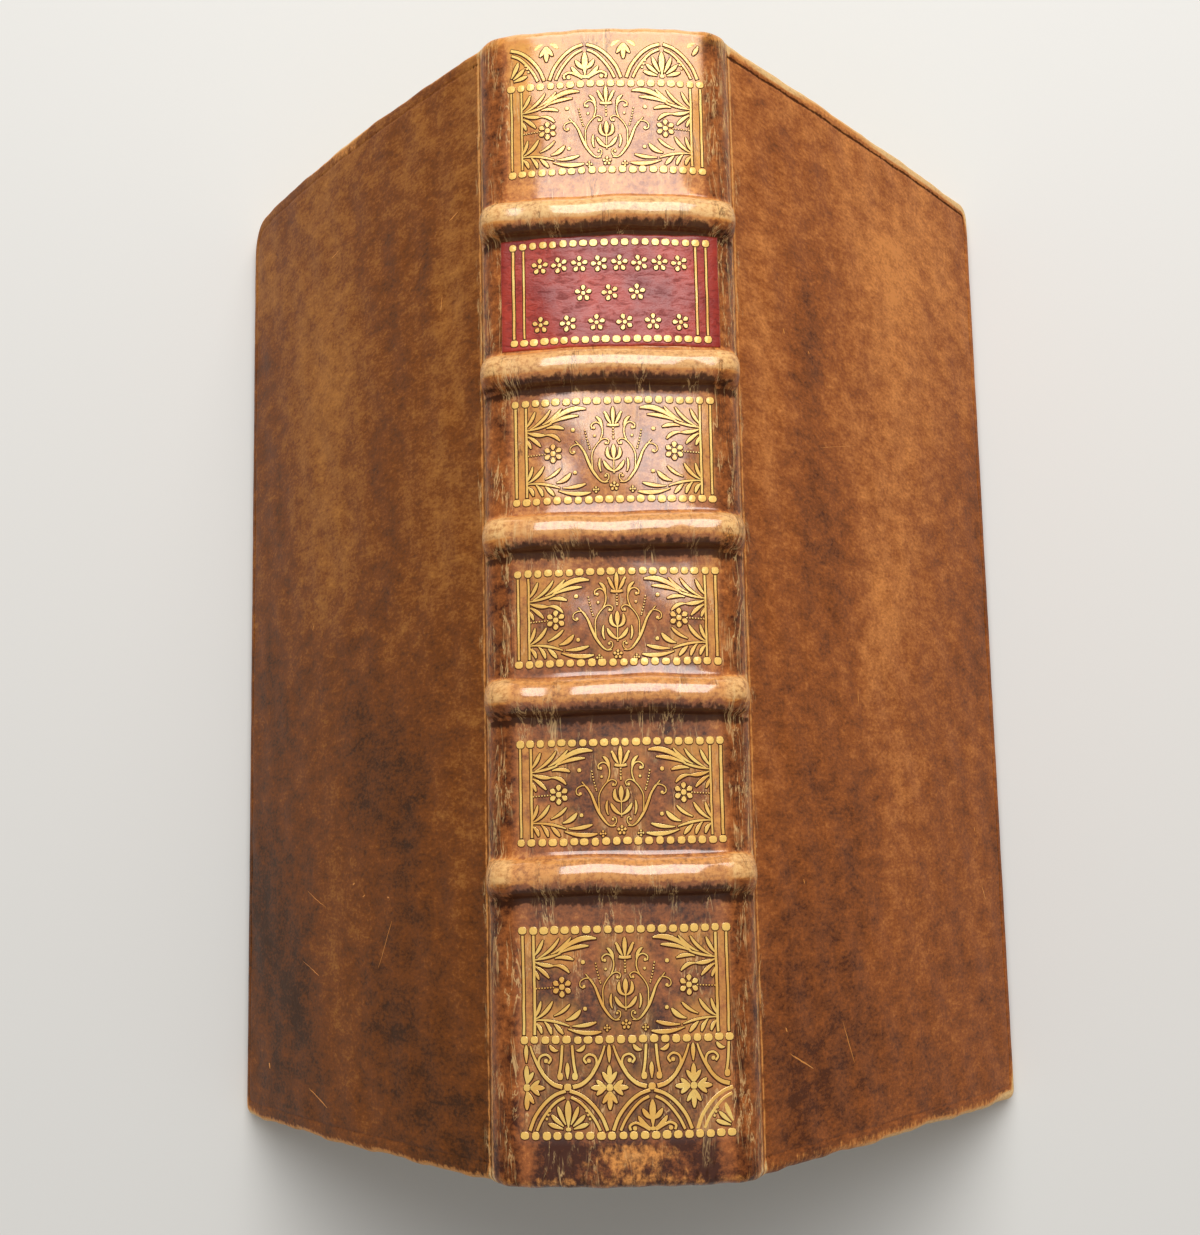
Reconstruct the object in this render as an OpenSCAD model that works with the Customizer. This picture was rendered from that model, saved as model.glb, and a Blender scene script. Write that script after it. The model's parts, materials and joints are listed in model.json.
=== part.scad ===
// Calf-bound book with five raised bands, opened at its middle and stood
// like a tent on the fore edges of its two covers, spine upward.
// X runs across the spine towards the front cover, Y along the spine towards
// the head, Z upward. The origin is the middle of the footprint.

/* [Leaves] */
// Height of the leaves, head to tail
leaf_h = 164; // [150:1:180]
// Width of the leaves, from the joint to the fore edge
leaf_w = 93; // [80:1:105]
// Thickness of the leaves on each side of the opening
leaf_stack = 16; // [12:0.5:20]
// Angle by which the innermost leaves hang steeper than the covers
leaf_sag = 3; // [0:0.5:5]
// Width of the gutter where the leaves part at the spine
gutter_gap = 0.5; // [0.3:0.1:1]
// Depth of glued folds above the gutter
fold_depth = 2; // [1.5:0.1:3]
// Bulge of the leaves' fore edges
fore_bulge = 0.7; // [0:0.1:1.5]

/* [Covers] */
// Angle between each cover and the upright
half_angle = 32.3; // [27:0.1:38]
// Overhang of the covers past the leaves on three sides
square_w = 3; // [2:0.5:5]
// Thickness of the pasteboard
board_t = 2.6; // [1.8:0.1:3.6]
// Thickness of the calfskin
leather_t = 0.8; // [0.6:0.1:1]
// Thickness of the pared leather turned in round the board
turn_in_t = 0.4; // [0.3:0.1:0.6]
// Width of the turned-in leather that shows inside the cover
turn_in_w = 6; // [4:0.5:12]
// Radius of the covers' long edges
edge_r = 1.1; // [0.8:0.1:1.4]
// Depth of the flat worn on each fore edge, where the book stands
worn_flat = 0.15; // [0.1:0.05:0.25]
// Radius of the front cover's head corner
front_corner_r = 3.5; // [2:0.5:8]
// Radius of the back cover's worn head corner
back_corner_r = 6.5; // [2:0.5:8]
// Radius of both covers' tail corners
tail_corner_r = 2; // [1.5:0.5:6]
// Outward warp of the front cover
front_bow = 0.6; // [0:0.1:3]
// Outward warp of the back cover
back_bow = 2.2; // [0:0.1:3]

/* [Spine] */
// Height of the spine's crown above the joints
spine_rise = 6; // [5.2:0.1:8]
// How far each joint lies outside the leaves' thickness
joint_out = 3.2; // [2.4:0.1:4]
// Radius of the spine's shoulders
shoulder_r = 5.2; // [4.2:0.1:5.8]
// Slope of the spine where it meets the joint
joint_slope = 78; // [72:1:84]
// Distance of the board's spine edge from the joint
board_start = 1.3; // [1:0.1:3]
// How far the leather caps stand past the covers
cap_proud = 0.4; // [0:0.1:1]
// Outer radius of the leather caps
cap_r = 1.5; // [1.2:0.1:2]
// Depth to which the caps fold down over the endbands
cap_lip = 3; // [2.4:0.1:3.4]
// Thickness of the parchment linings
lining_t = 0.3; // [0.2:0.05:0.5]
// Thickness of the endbands
endband_d = 1.9; // [1.4:0.1:2.1]

/* [Bands] */
// Thickness of the sewing cords
cord_d = 3.1; // [2.4:0.1:3.6]
// Distance from the head of the covers to the first band
head_space = 29.9; // [26:0.1:33]
// Distance from the last band to the tail of the covers
tail_space = 42.2; // [38:0.1:46]
// How far the second band lies headward of an even spacing
second_shift = 0.9; // [-1.5:0.1:1.5]
// How far the third band lies headward of an even spacing
third_shift = 0.6; // [-1.5:0.1:1.5]
// How far the fourth band lies headward of an even spacing
fourth_shift = 1.1; // [-1.5:0.1:1.5]
// Width of the leather fillet at a band's foot
band_foot = 0.7; // [0.4:0.1:1]

/* [Lacing] */
// Width of the cord ends laced into the boards
slip_w = 3.4; // [2.6:0.1:4]
// Thickness of a cord end in its groove
slip_t = 1.2; // [0.8:0.1:1.4]
// Distance from the joint to the lacing holes
slip_hole = 6; // [5:0.5:9]
// Length of the frayed end inside the board
slip_tail = 9; // [5:0.5:12]

/* [Papers and label] */
// Thickness of the marbled paper pasted inside the covers
pastedown_t = 0.3; // [0.2:0.05:0.35]
// Thickness of the loose marbled endpapers
endpaper_t = 0.2; // [0.15:0.05:0.3]
// Thickness of the red morocco label
label_t = 0.25; // [0.2:0.05:0.4]
// Angle that the label wraps to on each shoulder
label_wrap = 26; // [22:1:34]

/* [Gold tooling] */
// Thickness of the gold tooling
gilt_t = 0.1; // [0.06:0.02:0.2]
// Width of the tooled panels across the spine
panel_w = 29.4; // [26:0.2:30]
// Diameter of a pearl in the pearl lines
pearl_d = 1.1; // [0.8:0.1:1.2]
// Number of pearls in a line
pearls = 19; // [15:1:21]
// Width of a gold fillet line
fillet_w = 0.4; // [0.3:0.1:0.6]
// Distance between a panel's two side fillets
fillet_step = 1.1; // [0.8:0.1:1.5]
// Distance from a band's crest to the pearl line on its tail side
line_below = 5; // [4.2:0.1:6]
// How much further from its band each next panel starts
line_drift = 0.8; // [0:0.1:1]
// Distance from a band's crest to the pearl line on its head side
line_above = 4.9; // [4.2:0.1:6]
// Distance from the first band's crest to the pearl line on its head side
first_line_above = 7.2; // [4.2:0.1:9]
// Plain space between the head of the covers and the roll there
head_margin = 1.6; // [1.4:0.1:3]
// Height of the roll at the head, down to its pearl line
head_roll_h = 7.3; // [6.5:0.1:9]
// Plain space between the tail of the covers and the pearl line there
tail_margin = 6.7; // [4:0.1:8]
// Height of the roll at the tail, between its pearl lines
tail_roll_h = 13; // [9:0.1:14]
// Plain space between a pearl line and the tools beside it
tool_gap = 0.4; // [0.3:0.1:0.8]

/* [Clearances] */
// Gap between pieces that are glued or nested
fit_gap = 0.05; // [0.03:0.01:0.08]
// Gap between each cover and the leaves
page_gap = 0.3; // [0.3:0.1:1]
// Gap between the cover leather and the spine leather at the joint
joint_gap = 0.08; // [0.06:0.01:0.1]

/* [Hidden] */

// Covers
cover_w = leaf_w + square_w;
cover_h = leaf_h + 2 * square_w;
half_h = cover_h / 2;
leaf_end = leaf_h / 2;
cover_t = leather_t + board_t + 2 * fit_gap + turn_in_t;
board_top = leather_t + fit_gap;
board_bottom = board_top + board_t;
cavity_bottom = board_bottom + fit_gap;
// Depth below the cover's outer face of the loose endpaper and the first leaf
endpaper_v = cover_t + page_gap;
leaf_v = endpaper_v + endpaper_t + fit_gap;
// Distances from the joint of the leaves' shoulder and of the turned-in leather
shoulder_u = 0.5;
turn_in_u = shoulder_u + page_gap;
bow_steps = 9;

// Place of the joint: x across, z up, with the worn fore edges at z = 0
joint_x = leaf_stack + joint_out;
joint_z = cos(half_angle) * (cover_w - edge_r) + sin(half_angle) * (cover_t - edge_r)
    + edge_r - worn_flat;

// Spine arch: one wide arc between two shoulder arcs, tangent to each other
arch_run = joint_x - shoulder_r * sin(joint_slope);
arch_lift = spine_rise - shoulder_r * (1 - cos(joint_slope));
crown_angle = 2 * atan(arch_lift / arch_run);
crown_r = shoulder_r + arch_run / sin(crown_angle);
crown_steps = 6;
shoulder_steps = 4;
crown_phis = [for (i = [0:crown_steps]) crown_angle * (2 * i / crown_steps - 1)];
shoulder_phis = [for (i = [1:shoulder_steps])
    crown_angle + (joint_slope - crown_angle) * i / shoulder_steps];
arch_phis = concat(
    [for (i = [shoulder_steps - 1:-1:0]) -shoulder_phis[i]], crown_phis, shoulder_phis);

// Depth of the leaves' back below the leather's outer face
back_depth = leather_t + lining_t + 2 * fit_gap;
cord_r = cord_d / 2;
// Height of a cord's middle above the plain leather's outer face
cord_off = cord_r + fit_gap - back_depth;
band_in_r = cord_r + fit_gap;
band_out_r = band_in_r + leather_t;
band_h = cord_off + band_out_r;
// Bands evenly spaced between the first and the last, apart from their shifts
band_step = (cover_h - head_space - tail_space) / 4;
band_shifts = [0, second_shift, third_shift, fourth_shift, 0];
band_ys = [for (i = [0:4]) half_h - head_space - i * band_step + band_shifts[i]];
foot_y = band_out_r + band_foot;
taper_power = 1.2;
cord_end = 66;
lining_end = joint_slope - 4;
endband_end = joint_slope - 8;

function half_turn(list) = [for (i = [len(list) - 1:-1:0]) [-list[i][0], list[i][1]]];

// Point [x, z] at distance u down the front cover and v outward from it
function at_cover(u, v) = [
    joint_x + u * sin(half_angle) + v * cos(half_angle),
    joint_z - u * cos(half_angle) + v * sin(half_angle)
];

// Point [x, z] of the arch in direction phi, at an offset outward from the leather's face
function arch(phi, off) =
    let (
        wide = abs(phi) <= crown_angle + 0.001,
        r = (wide ? crown_r : shoulder_r) + off,
        side = phi < 0 ? -1 : 1,
        cx = wide ? 0 : side * (crown_r - shoulder_r) * sin(crown_angle),
        cz = wide ? 0 : (crown_r - shoulder_r) * cos(crown_angle)
    )
    [cx + r * sin(phi), joint_z + spine_rise - crown_r + cz + r * cos(phi)];

// Share of a band's full height that is left in direction phi
function band_share(phi) =
    let (s = max(0, (abs(phi) - crown_angle) / (joint_slope - crown_angle)))
    pow(max(0, cos(90 * min(1, s))), taper_power);

// Outward warp of a cover at distance u from the joint
function warp(u, bow) = 4 * bow * (u / cover_w) * (1 - u / cover_w);

// Solid through a list of rings with the same number of points. Each end is closed
// by a strip between the ring's first half and its second half.
module loft(rings) {
    n = len(rings[0]);
    last = len(rings) - 1;
    points = [for (ring = rings) each ring];
    sides = [for (j = [0:last - 1]) for (i = [0:n - 1]) each [
        [j * n + i, (j + 1) * n + (i + 1) % n, (j + 1) * n + i],
        [j * n + i, j * n + (i + 1) % n, (j + 1) * n + (i + 1) % n]
    ]];
    strip = [for (i = [0:n / 2 - 2]) each [
        [i, n - 2 - i, i + 1],
        [i, n - 1 - i, n - 2 - i]
    ]];
    start = [for (f = strip) if (f[1] != f[2]) f];
    finish = [for (f = start) [last * n + f[0], last * n + f[2], last * n + f[1]]];
    polyhedron(points, concat(sides, start, finish), convexity = 10);
}

// Plate with an [x, z] outline, standing across the book from y0 to y1
module across(outline, y0, y1) {
    translate([0, y1, 0]) rotate([90, 0, 0]) linear_extrude(y1 - y0) polygon(outline);
}

// Children drawn flat on the front cover: X from the joint to the fore edge,
// Y to the head, Z outward. The back cover is the mirror image.
module on_cover(side) {
    mirror([side < 0 ? 1 : 0, 0, 0])
        translate([joint_x, 0, joint_z]) rotate([0, 90 - half_angle, 0]) children();
}

// Leaves

// Where the innermost leaf leaves the gutter's bend, and the bend's radius
leaf_angle = half_angle - leaf_sag;
gutter_x = gutter_gap / 2;
gutter_z = joint_z + spine_rise - back_depth - fold_depth;
gutter_v = (gutter_x - joint_x) * cos(half_angle) + (gutter_z - joint_z) * sin(half_angle);
gutter_r = (leaf_v + leaf_stack + gutter_v)
    / (sin(leaf_angle) * sin(half_angle) - (1 - cos(leaf_angle)) * cos(half_angle));
bend_x = gutter_x + gutter_r * (1 - cos(leaf_angle));
bend_z = gutter_z - gutter_r * sin(leaf_angle);
inner_run = leaf_w - gutter_r * leaf_angle * PI / 180;
inner_end = [bend_x + inner_run * sin(leaf_angle), bend_z - inner_run * cos(leaf_angle)];
gutter_steps = 8;
fore_steps = 6;

function fore_edge_point(t) =
    let (outer_end = at_cover(leaf_w, -leaf_v))
    outer_end + (inner_end - outer_end) * t - [0, fore_bulge * 4 * t * (1 - t)];

function gutter_point(i) =
    let (turn = leaf_angle * i / gutter_steps)
    [gutter_x + gutter_r * (1 - cos(turn)), gutter_z - gutter_r * sin(turn)];

function half_block() = concat(
    [for (phi = arch_phis) if (phi > 0.001) arch(phi, -back_depth)],
    [at_cover(shoulder_u, -leaf_v)],
    [for (i = [0:fore_steps]) fore_edge_point(i / fore_steps)],
    [for (i = [gutter_steps:-1:0]) gutter_point(i)]
);

module text_block() {
    right = half_block();
    color("wheat")
        across(concat([arch(0, -back_depth)], right, half_turn(right)), -leaf_end, leaf_end);
}

module endpaper(side) {
    color("rosybrown") on_cover(side)
        translate([shoulder_u + fit_gap, -leaf_end, -endpaper_v - endpaper_t])
            cube([leaf_w - shoulder_u - fit_gap, leaf_h, endpaper_t]);
}

// Sewing and linings

// One cord over the back of the leaves, flattened towards the joints
module sewing_cord(y) {
    sides = 6;
    phis = concat(
        [-cord_end],
        [for (phi = arch_phis) if (abs(phi) < cord_end - 2) phi],
        [cord_end]
    );
    rings = [for (phi = phis)
        let (
            top = band_share(phi) * band_h - leather_t - fit_gap,
            flat = (top + back_depth - fit_gap) / 2,
            middle = (top - back_depth + fit_gap) / 2
        )
        [for (k = [0:sides - 1])
            let (p = arch(phi, middle + flat * sin(360 * k / sides)))
            [p[0], y - cord_r * cos(360 * k / sides), p[1]]
        ]
    ];
    color("tan") loft(rings);
}

// Parchment strip between two cords, or between a cord and the end of the leaves
module spine_lining(y0, y1) {
    phis = concat(
        [-lining_end],
        [for (phi = arch_phis) if (abs(phi) < lining_end - 2) phi],
        [lining_end]
    );
    outline = concat(
        [for (phi = phis) arch(phi, -leather_t - fit_gap)],
        [for (i = [len(phis) - 1:-1:0]) arch(phis[i], -leather_t - fit_gap - lining_t)]
    );
    color("ivory") across(outline, y0, y1);
}

function lining_top(i) = i == 0 ? leaf_end : band_ys[i - 1] - cord_r - fit_gap;
function lining_foot(i) = i == 5 ? -leaf_end : band_ys[i] + cord_r + fit_gap;

// Wound silk band at one end of the leaves' back
module endband(end) {
    sides = 6;
    r = endband_d / 2;
    phis = concat(
        [-endband_end],
        [for (phi = arch_phis) if (abs(phi) < endband_end - 2) phi],
        [endband_end]
    );
    middle = -leather_t - 2 * fit_gap - r;
    rings = [for (phi = phis) [for (k = [0:sides - 1])
        let (p = arch(phi, middle + r * sin(360 * k / sides)))
        [p[0], end * (leaf_end + 2 * fit_gap + r) - r * cos(360 * k / sides), p[1]]
    ]];
    color("darkseagreen") loft(rings);
}

// Spine leather

// Profiles along the spine, tail to head, as [y, offset from the plain leather's face]
cap_y = half_h + cap_proud - cap_r;
cap_turns = [0, 30, 60, 90];
band_turns = [-80, -56, -30, 0, 30, 56, 80];

function cap_profile(r) = concat(
    [for (turn = cap_turns) [cap_y + r * sin(turn), r * cos(turn) - cap_r]],
    [[cap_y + r, -cap_lip]]
);

function band_profile(y, r, foot, base) = concat(
    [[y - r - foot, base], [y - r - foot * 0.3, base + 0.25]],
    [for (turn = band_turns) [y + r * sin(turn), cord_off + r * cos(turn)]],
    [[y + r + foot * 0.3, base + 0.25], [y + r + foot, base]]
);

function tail_first(list) = [for (i = [len(list) - 1:-1:0]) [-list[i][0], list[i][1]]];

function spine_profile(cap_radius, band_radius, foot, base) = concat(
    tail_first(cap_profile(cap_radius)),
    [for (i = [4:-1:0]) each band_profile(band_ys[i], band_radius, foot, base)],
    cap_profile(cap_radius)
);

// The bands' height above the plain leather fades towards the joints
function faded(p, base, phi) =
    [p[0], p[1] > base ? base + (p[1] - base) * band_share(phi) : p[1]];

module spine_leather() {
    outer = spine_profile(cap_r, band_out_r, band_foot, 0);
    inner = spine_profile(cap_r - leather_t, band_in_r, band_foot, -leather_t);
    count = len(inner);
    rings = [for (phi = arch_phis) concat(
        [for (q = outer)
            let (f = faded(q, 0, phi), p = arch(phi, f[1]))
            [p[0], f[0], p[1]]
        ],
        [for (i = [count - 1:-1:0])
            let (f = faded(inner[i], -leather_t, phi), p = arch(phi, f[1]))
            [p[0], f[0], p[1]]
        ]
    )];
    color("sienna") loft(rings);
}

module title_label() {
    phis = concat(
        [-label_wrap],
        [for (phi = arch_phis) if (abs(phi) < label_wrap - 1) phi],
        [label_wrap]
    );
    outline = concat(
        [for (phi = phis) arch(phi, fit_gap + label_t)],
        [for (i = [len(phis) - 1:-1:0]) arch(phis[i], fit_gap)]
    );
    color("firebrick") across(outline, label_y0, label_y1);
}

label_y0 = band_ys[1] + foot_y + fit_gap;
label_y1 = band_ys[0] - foot_y - fit_gap;
label_top = fit_gap + label_t;

// Gold tooling

// Children drawn flat at a place across and along the spine, lifted off its face
module on_spine(x, y, lift) {
    phi = asin(x / (crown_r + lift));
    p = arch(phi, lift);
    translate([p[0], y, p[1]]) rotate([0, phi, 0]) children();
}

// Narrow leaf from the origin along a direction
module gilt_leaf(x, y, lift, direction, long, wide) {
    points = concat(
        [for (t = [0, 0.35, 0.7, 1]) [long * t, wide / 2 * sin(180 * pow(t, 0.8))]],
        [for (t = [0.7, 0.35]) [long * t, -wide / 2 * sin(180 * pow(t, 0.8))]]
    );
    on_spine(x, y, lift)
        rotate([0, 0, direction]) linear_extrude(gilt_t) polygon(points);
}

module gilt_bar(x, y, lift, wide, tall) {
    on_spine(x, y, lift) translate([-wide / 2, -tall / 2, 0]) cube([wide, tall, gilt_t]);
}

module pearl_line(y, lift) {
    for (i = [0:pearls - 1])
        on_spine(panel_w * (i / (pearls - 1) - 0.5), y, lift)
            cylinder(d = pearl_d, h = gilt_t, $fn = 4);
}

// Flower with pointed petals
module gilt_flower(x, y, lift, size, petals = 5) {
    on_spine(x, y, lift) linear_extrude(gilt_t)
        polygon([for (k = [0:2 * petals - 1])
            (k % 2 == 0 ? size / 2 : size / 5) * [sin(180 * k / petals), cos(180 * k / petals)]]);
}

// Spray of three leaves from one point, the middle one along a direction
module gilt_spray(x, y, lift, direction, long) {
    turns = [-60, -46, -20, 0, 20, 46, 60];
    shares = [0.25, 0.85, 0.35, 1, 0.35, 0.85, 0.25];
    on_spine(x, y, lift) rotate([0, 0, direction]) linear_extrude(gilt_t)
        polygon(concat([[0, 0]],
            [for (k = [0:6]) long * shares[k] * [cos(turns[k]), sin(turns[k])]]));
}

// Curved stem: a strip along an arc of a circle
module gilt_arc(x, y, lift, r, from, to) {
    steps = 5;
    angles = [for (i = [0:steps]) from + (to - from) * i / steps];
    points = concat(
        [for (a = angles) [(r + fillet_w / 2) * cos(a), (r + fillet_w / 2) * sin(a)]],
        [for (i = [steps:-1:0])
            [(r - fillet_w / 2) * cos(angles[i]), (r - fillet_w / 2) * sin(angles[i])]]
    );
    on_spine(x, y, lift) linear_extrude(gilt_t) polygon(points);
}

// Panel between two pearl lines: side fillets, corner leaves, flowers and a centre spray
module gilt_panel(y0, y1) {
    lift = fit_gap;
    middle = (y0 + y1) / 2;
    inside = y1 - y0 - pearl_d - 2 * tool_gap;
    scroll_r = inside * 0.19;
    color("gold") {
        pearl_line(y0, lift);
        pearl_line(y1, lift);
        for (side = [-1, 1]) {
            for (inset = [0, fillet_step])
                gilt_bar(side * (panel_w / 2 - inset), middle, lift, fillet_w, inside);
            gilt_flower(side * panel_w * 0.3, middle, lift, inside * 0.27);
            for (up = [-1, 1])
                gilt_spray(side * panel_w * 0.42, middle + up * inside * 0.45, lift,
                    atan2(-up, -side), inside * 0.34);
            gilt_arc(side * scroll_r, middle - inside * 0.05, lift, scroll_r,
                side > 0 ? -120 : 60, side > 0 ? 120 : 300);
        }
        gilt_flower(0, middle - inside * 0.06, lift, inside * 0.25);
        for (turn = [50, 90, 130])
            gilt_leaf(0, middle + inside * 0.22, lift, turn, inside * 0.2, inside * 0.06);
    }
}

// Roll of arches and upright leaves
module gilt_roll(y0, y1) {
    arches = 4;
    pitch = panel_w / arches;
    tall = y1 - y0;
    color("gold") {
        for (i = [0:arches - 1]) {
            x = pitch * (i + 0.5) - panel_w / 2;
            gilt_arc(x, y0 + tool_gap, fit_gap, min(pitch * 0.42, tall - 2 * tool_gap), 0, 180);
            gilt_spray(x, y0, fit_gap, 90, pitch * 0.36);
        }
        for (i = [0:arches])
            gilt_leaf(pitch * i - panel_w / 2, y1, fit_gap, -90, tall * 0.5, pitch * 0.12);
    }
}

// Places along the spine of the pearl lines, set from the bands and the covers' ends
first_panel_top = half_h - head_margin - head_roll_h;
tail_line = -half_h + tail_margin;
last_panel_foot = tail_line + tail_roll_h;
roll_inset = pearl_d / 2 + tool_gap;

function panel_top(i) = band_ys[i] - line_below - line_drift * (i - 1);
function panel_foot(i) = band_ys[i] + line_above;

module gilt_tail_roll() {
    gilt_roll(tail_line + roll_inset, last_panel_foot - roll_inset);
    color("gold") pearl_line(tail_line, fit_gap);
}

module gilt_label() {
    lift = label_top + fit_gap;
    top = label_y1 - pearl_d / 2 - 2 * tool_gap;
    foot = label_y0 + pearl_d / 2 + 2 * tool_gap;
    color("gold") {
        pearl_line(top, lift);
        pearl_line(foot, lift);
        for (side = [-1, 1]) for (inset = [0, fillet_step])
            gilt_bar(side * (panel_w / 2 - inset), (top + foot) / 2, lift, fillet_w,
                top - foot - pearl_d - 2 * tool_gap);
        for (row = [1:3]) for (i = [-2:2])
            gilt_flower(i * panel_w / 6, foot + (top - foot) * row / 4, lift,
                (top - foot) * 0.14, 3);
    }
}

// Covers

// Outline [u, y] of a cover layer, set in from the cover's edges
function cover_outline(from, inset, head_r, tail_r) =
    let (
        right = cover_w - inset,
        top = half_h - inset,
        hr = max(0.5, head_r - inset),
        tr = max(0.5, tail_r - inset)
    )
    concat(
        [[from, -top]],
        [for (a = [-90:22.5:0]) [right - tr + tr * cos(a), -top + tr + tr * sin(a)]],
        [for (a = [0:22.5:90]) [right - hr + hr * cos(a), top - hr + hr * sin(a)]],
        [[from, top]]
    );

// Distances from the joint at which every layer of a cover bends, between two ends
function bends(from, to) = concat(
    [from],
    [for (i = [0:bow_steps]) let (u = cover_w * i / bow_steps) if (u > from + 1 && u < to - 1) u],
    [to]
);

// Layer of a cover between two depths, following the cover's warp
module cover_layer(from, inset, top, bottom, bow, head_r) {
    us = bends(from, cover_w + 1);
    section = concat(
        [for (u = us) [u, warp(u, bow) - bottom]],
        [for (i = [len(us) - 1:-1:0]) [us[i], warp(us[i], bow) - top]]
    );
    intersection() {
        translate([0, half_h, 0]) rotate([90, 0, 0]) linear_extrude(cover_h) polygon(section);
        translate([0, 0, -cover_t - 5]) linear_extrude(cover_t + 15)
            polygon(cover_outline(from, inset, head_r, tail_corner_r));
    }
}

// Outline [u, v] of a laced cord end, grown by a gap
function slip_outline(gap, bow) = [
    for (p = [
        [board_start - 0.6 - gap, -board_top + gap],
        [slip_hole + slip_t / 2 + gap, -board_top + gap],
        [slip_hole + slip_t / 2 + gap, -board_bottom + 0.6 + gap],
        [slip_hole + slip_tail + gap, -board_bottom + 0.6 + gap],
        [slip_hole + slip_tail + gap, -board_bottom - gap],
        [slip_hole - slip_t / 2 - gap, -board_bottom - gap],
        [slip_hole - slip_t / 2 - gap, -board_top - slip_t - gap],
        [board_start - 0.6 - gap, -board_top - slip_t - gap]
    ]) [p[0], p[1] + warp(p[0], bow)]
];

module slips(gap, bow) {
    for (y = band_ys)
        translate([0, y + slip_w / 2 + gap, 0]) rotate([90, 0, 0])
            linear_extrude(slip_w + 2 * gap) polygon(slip_outline(gap, bow));
}

module board(side, bow, head_r) {
    color("burlywood") on_cover(side) difference() {
        cover_layer(board_start, leather_t + fit_gap, board_top, board_bottom, bow, head_r);
        slips(fit_gap, bow);
    }
}

module lacing_slips(side, bow) {
    color("tan") on_cover(side) slips(0, bow);
}

// Half height of the cover at distance u, inside a rounded corner
function corner_y(u, r) =
    let (d = max(0, u - cover_w + r))
    half_h - r + sqrt(max(0, r * r - d * d));

// Section ring [u, y, v] of the leather-covered cover at distance u
function cover_ring(u, edge, bow, head_r) =
    let (
        r = max(0.3, edge_r - 0.6 * edge),
        head = corner_y(u, head_r),
        tail = -corner_y(u, tail_corner_r),
        top = warp(u, bow) - edge,
        bottom = warp(u, bow) - cover_t + edge
    )
    concat(
        [for (a = [0:30:90]) [u, head - r + r * sin(a), top - r + r * cos(a)]],
        [for (a = [0:30:90]) [u, head - r + r * cos(a), bottom + r - r * sin(a)]],
        [for (a = [0:30:90]) [u, tail + r - r * sin(a), bottom + r - r * cos(a)]],
        [for (a = [0:30:90]) [u, tail + r - r * cos(a), top - r + r * sin(a)]]
    );

module cover_body(bow, head_r) {
    corner_from = cover_w - max(head_r, tail_corner_r);
    edge_from = cover_w - edge_r;
    plain = [for (u = bends(joint_gap, corner_from)) [u, 0]];
    corner = [for (i = [1:3]) [corner_from + (edge_from - corner_from) * i / 3, 0]];
    edge = [for (a = [30:30:90]) [edge_from + edge_r * sin(a), edge_r * (1 - cos(a))]];
    loft([for (s = concat(plain, corner, edge)) cover_ring(s[0], s[1], bow, head_r)]);
}

// Leather folded round the board on three edges, and worn flat where the book stands
module cover_leather(side, bow, head_r) {
    color("saddlebrown") difference() {
        on_cover(side) difference() {
            cover_body(bow, head_r);
            cover_layer(-1, leather_t, leather_t, cavity_bottom, bow, head_r);
            cover_layer(-1, turn_in_w, cavity_bottom - 0.4, cover_t + 2, bow, 0);
            translate([-1, -half_h - 1, -cover_t - 2])
                cube([1 + turn_in_u, cover_h + 2, cover_t + 2 - leather_t]);
        }
        translate([-cover_w * 2, -cover_h, -20]) cube([cover_w * 4, cover_h * 2, 20]);
    }
}

module pastedown(side, bow) {
    color("rosybrown") on_cover(side)
        cover_layer(board_start, turn_in_w + 2 * fit_gap, cavity_bottom,
            cavity_bottom + pastedown_t, bow, 0);
}

text_block();
endpaper(1);  // front_endpaper
endpaper(-1);  // back_endpaper
sewing_cord(band_ys[0]);  // sewing_cord_1
sewing_cord(band_ys[1]);  // sewing_cord_2
sewing_cord(band_ys[2]);  // sewing_cord_3
sewing_cord(band_ys[3]);  // sewing_cord_4
sewing_cord(band_ys[4]);  // sewing_cord_5
spine_lining(lining_foot(0), lining_top(0));  // spine_lining_1
spine_lining(lining_foot(1), lining_top(1));  // spine_lining_2
spine_lining(lining_foot(2), lining_top(2));  // spine_lining_3
spine_lining(lining_foot(3), lining_top(3));  // spine_lining_4
spine_lining(lining_foot(4), lining_top(4));  // spine_lining_5
spine_lining(lining_foot(5), lining_top(5));  // spine_lining_6
endband(1);  // head_band
endband(-1);  // tail_band
spine_leather();
title_label();
gilt_roll(first_panel_top + roll_inset, half_h - head_margin);  // gilt_head_roll
gilt_panel(band_ys[0] + first_line_above, first_panel_top);  // gilt_panel_1
gilt_label();
gilt_panel(panel_foot(2), panel_top(1));  // gilt_panel_3
gilt_panel(panel_foot(3), panel_top(2));  // gilt_panel_4
gilt_panel(panel_foot(4), panel_top(3));  // gilt_panel_5
gilt_panel(last_panel_foot, panel_top(4));  // gilt_panel_6
gilt_tail_roll();
board(1, front_bow, front_corner_r);  // front_board
lacing_slips(1, front_bow);  // front_lacing_slips
cover_leather(1, front_bow, front_corner_r);  // front_cover_leather
pastedown(1, front_bow);  // front_pastedown
board(-1, back_bow, back_corner_r);  // back_board
lacing_slips(-1, back_bow);  // back_lacing_slips
cover_leather(-1, back_bow, back_corner_r);  // back_cover_leather
pastedown(-1, back_bow);  // back_pastedown
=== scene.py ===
import json
import math

import bpy
import numpy as np
from mathutils import Matrix, Vector


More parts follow.
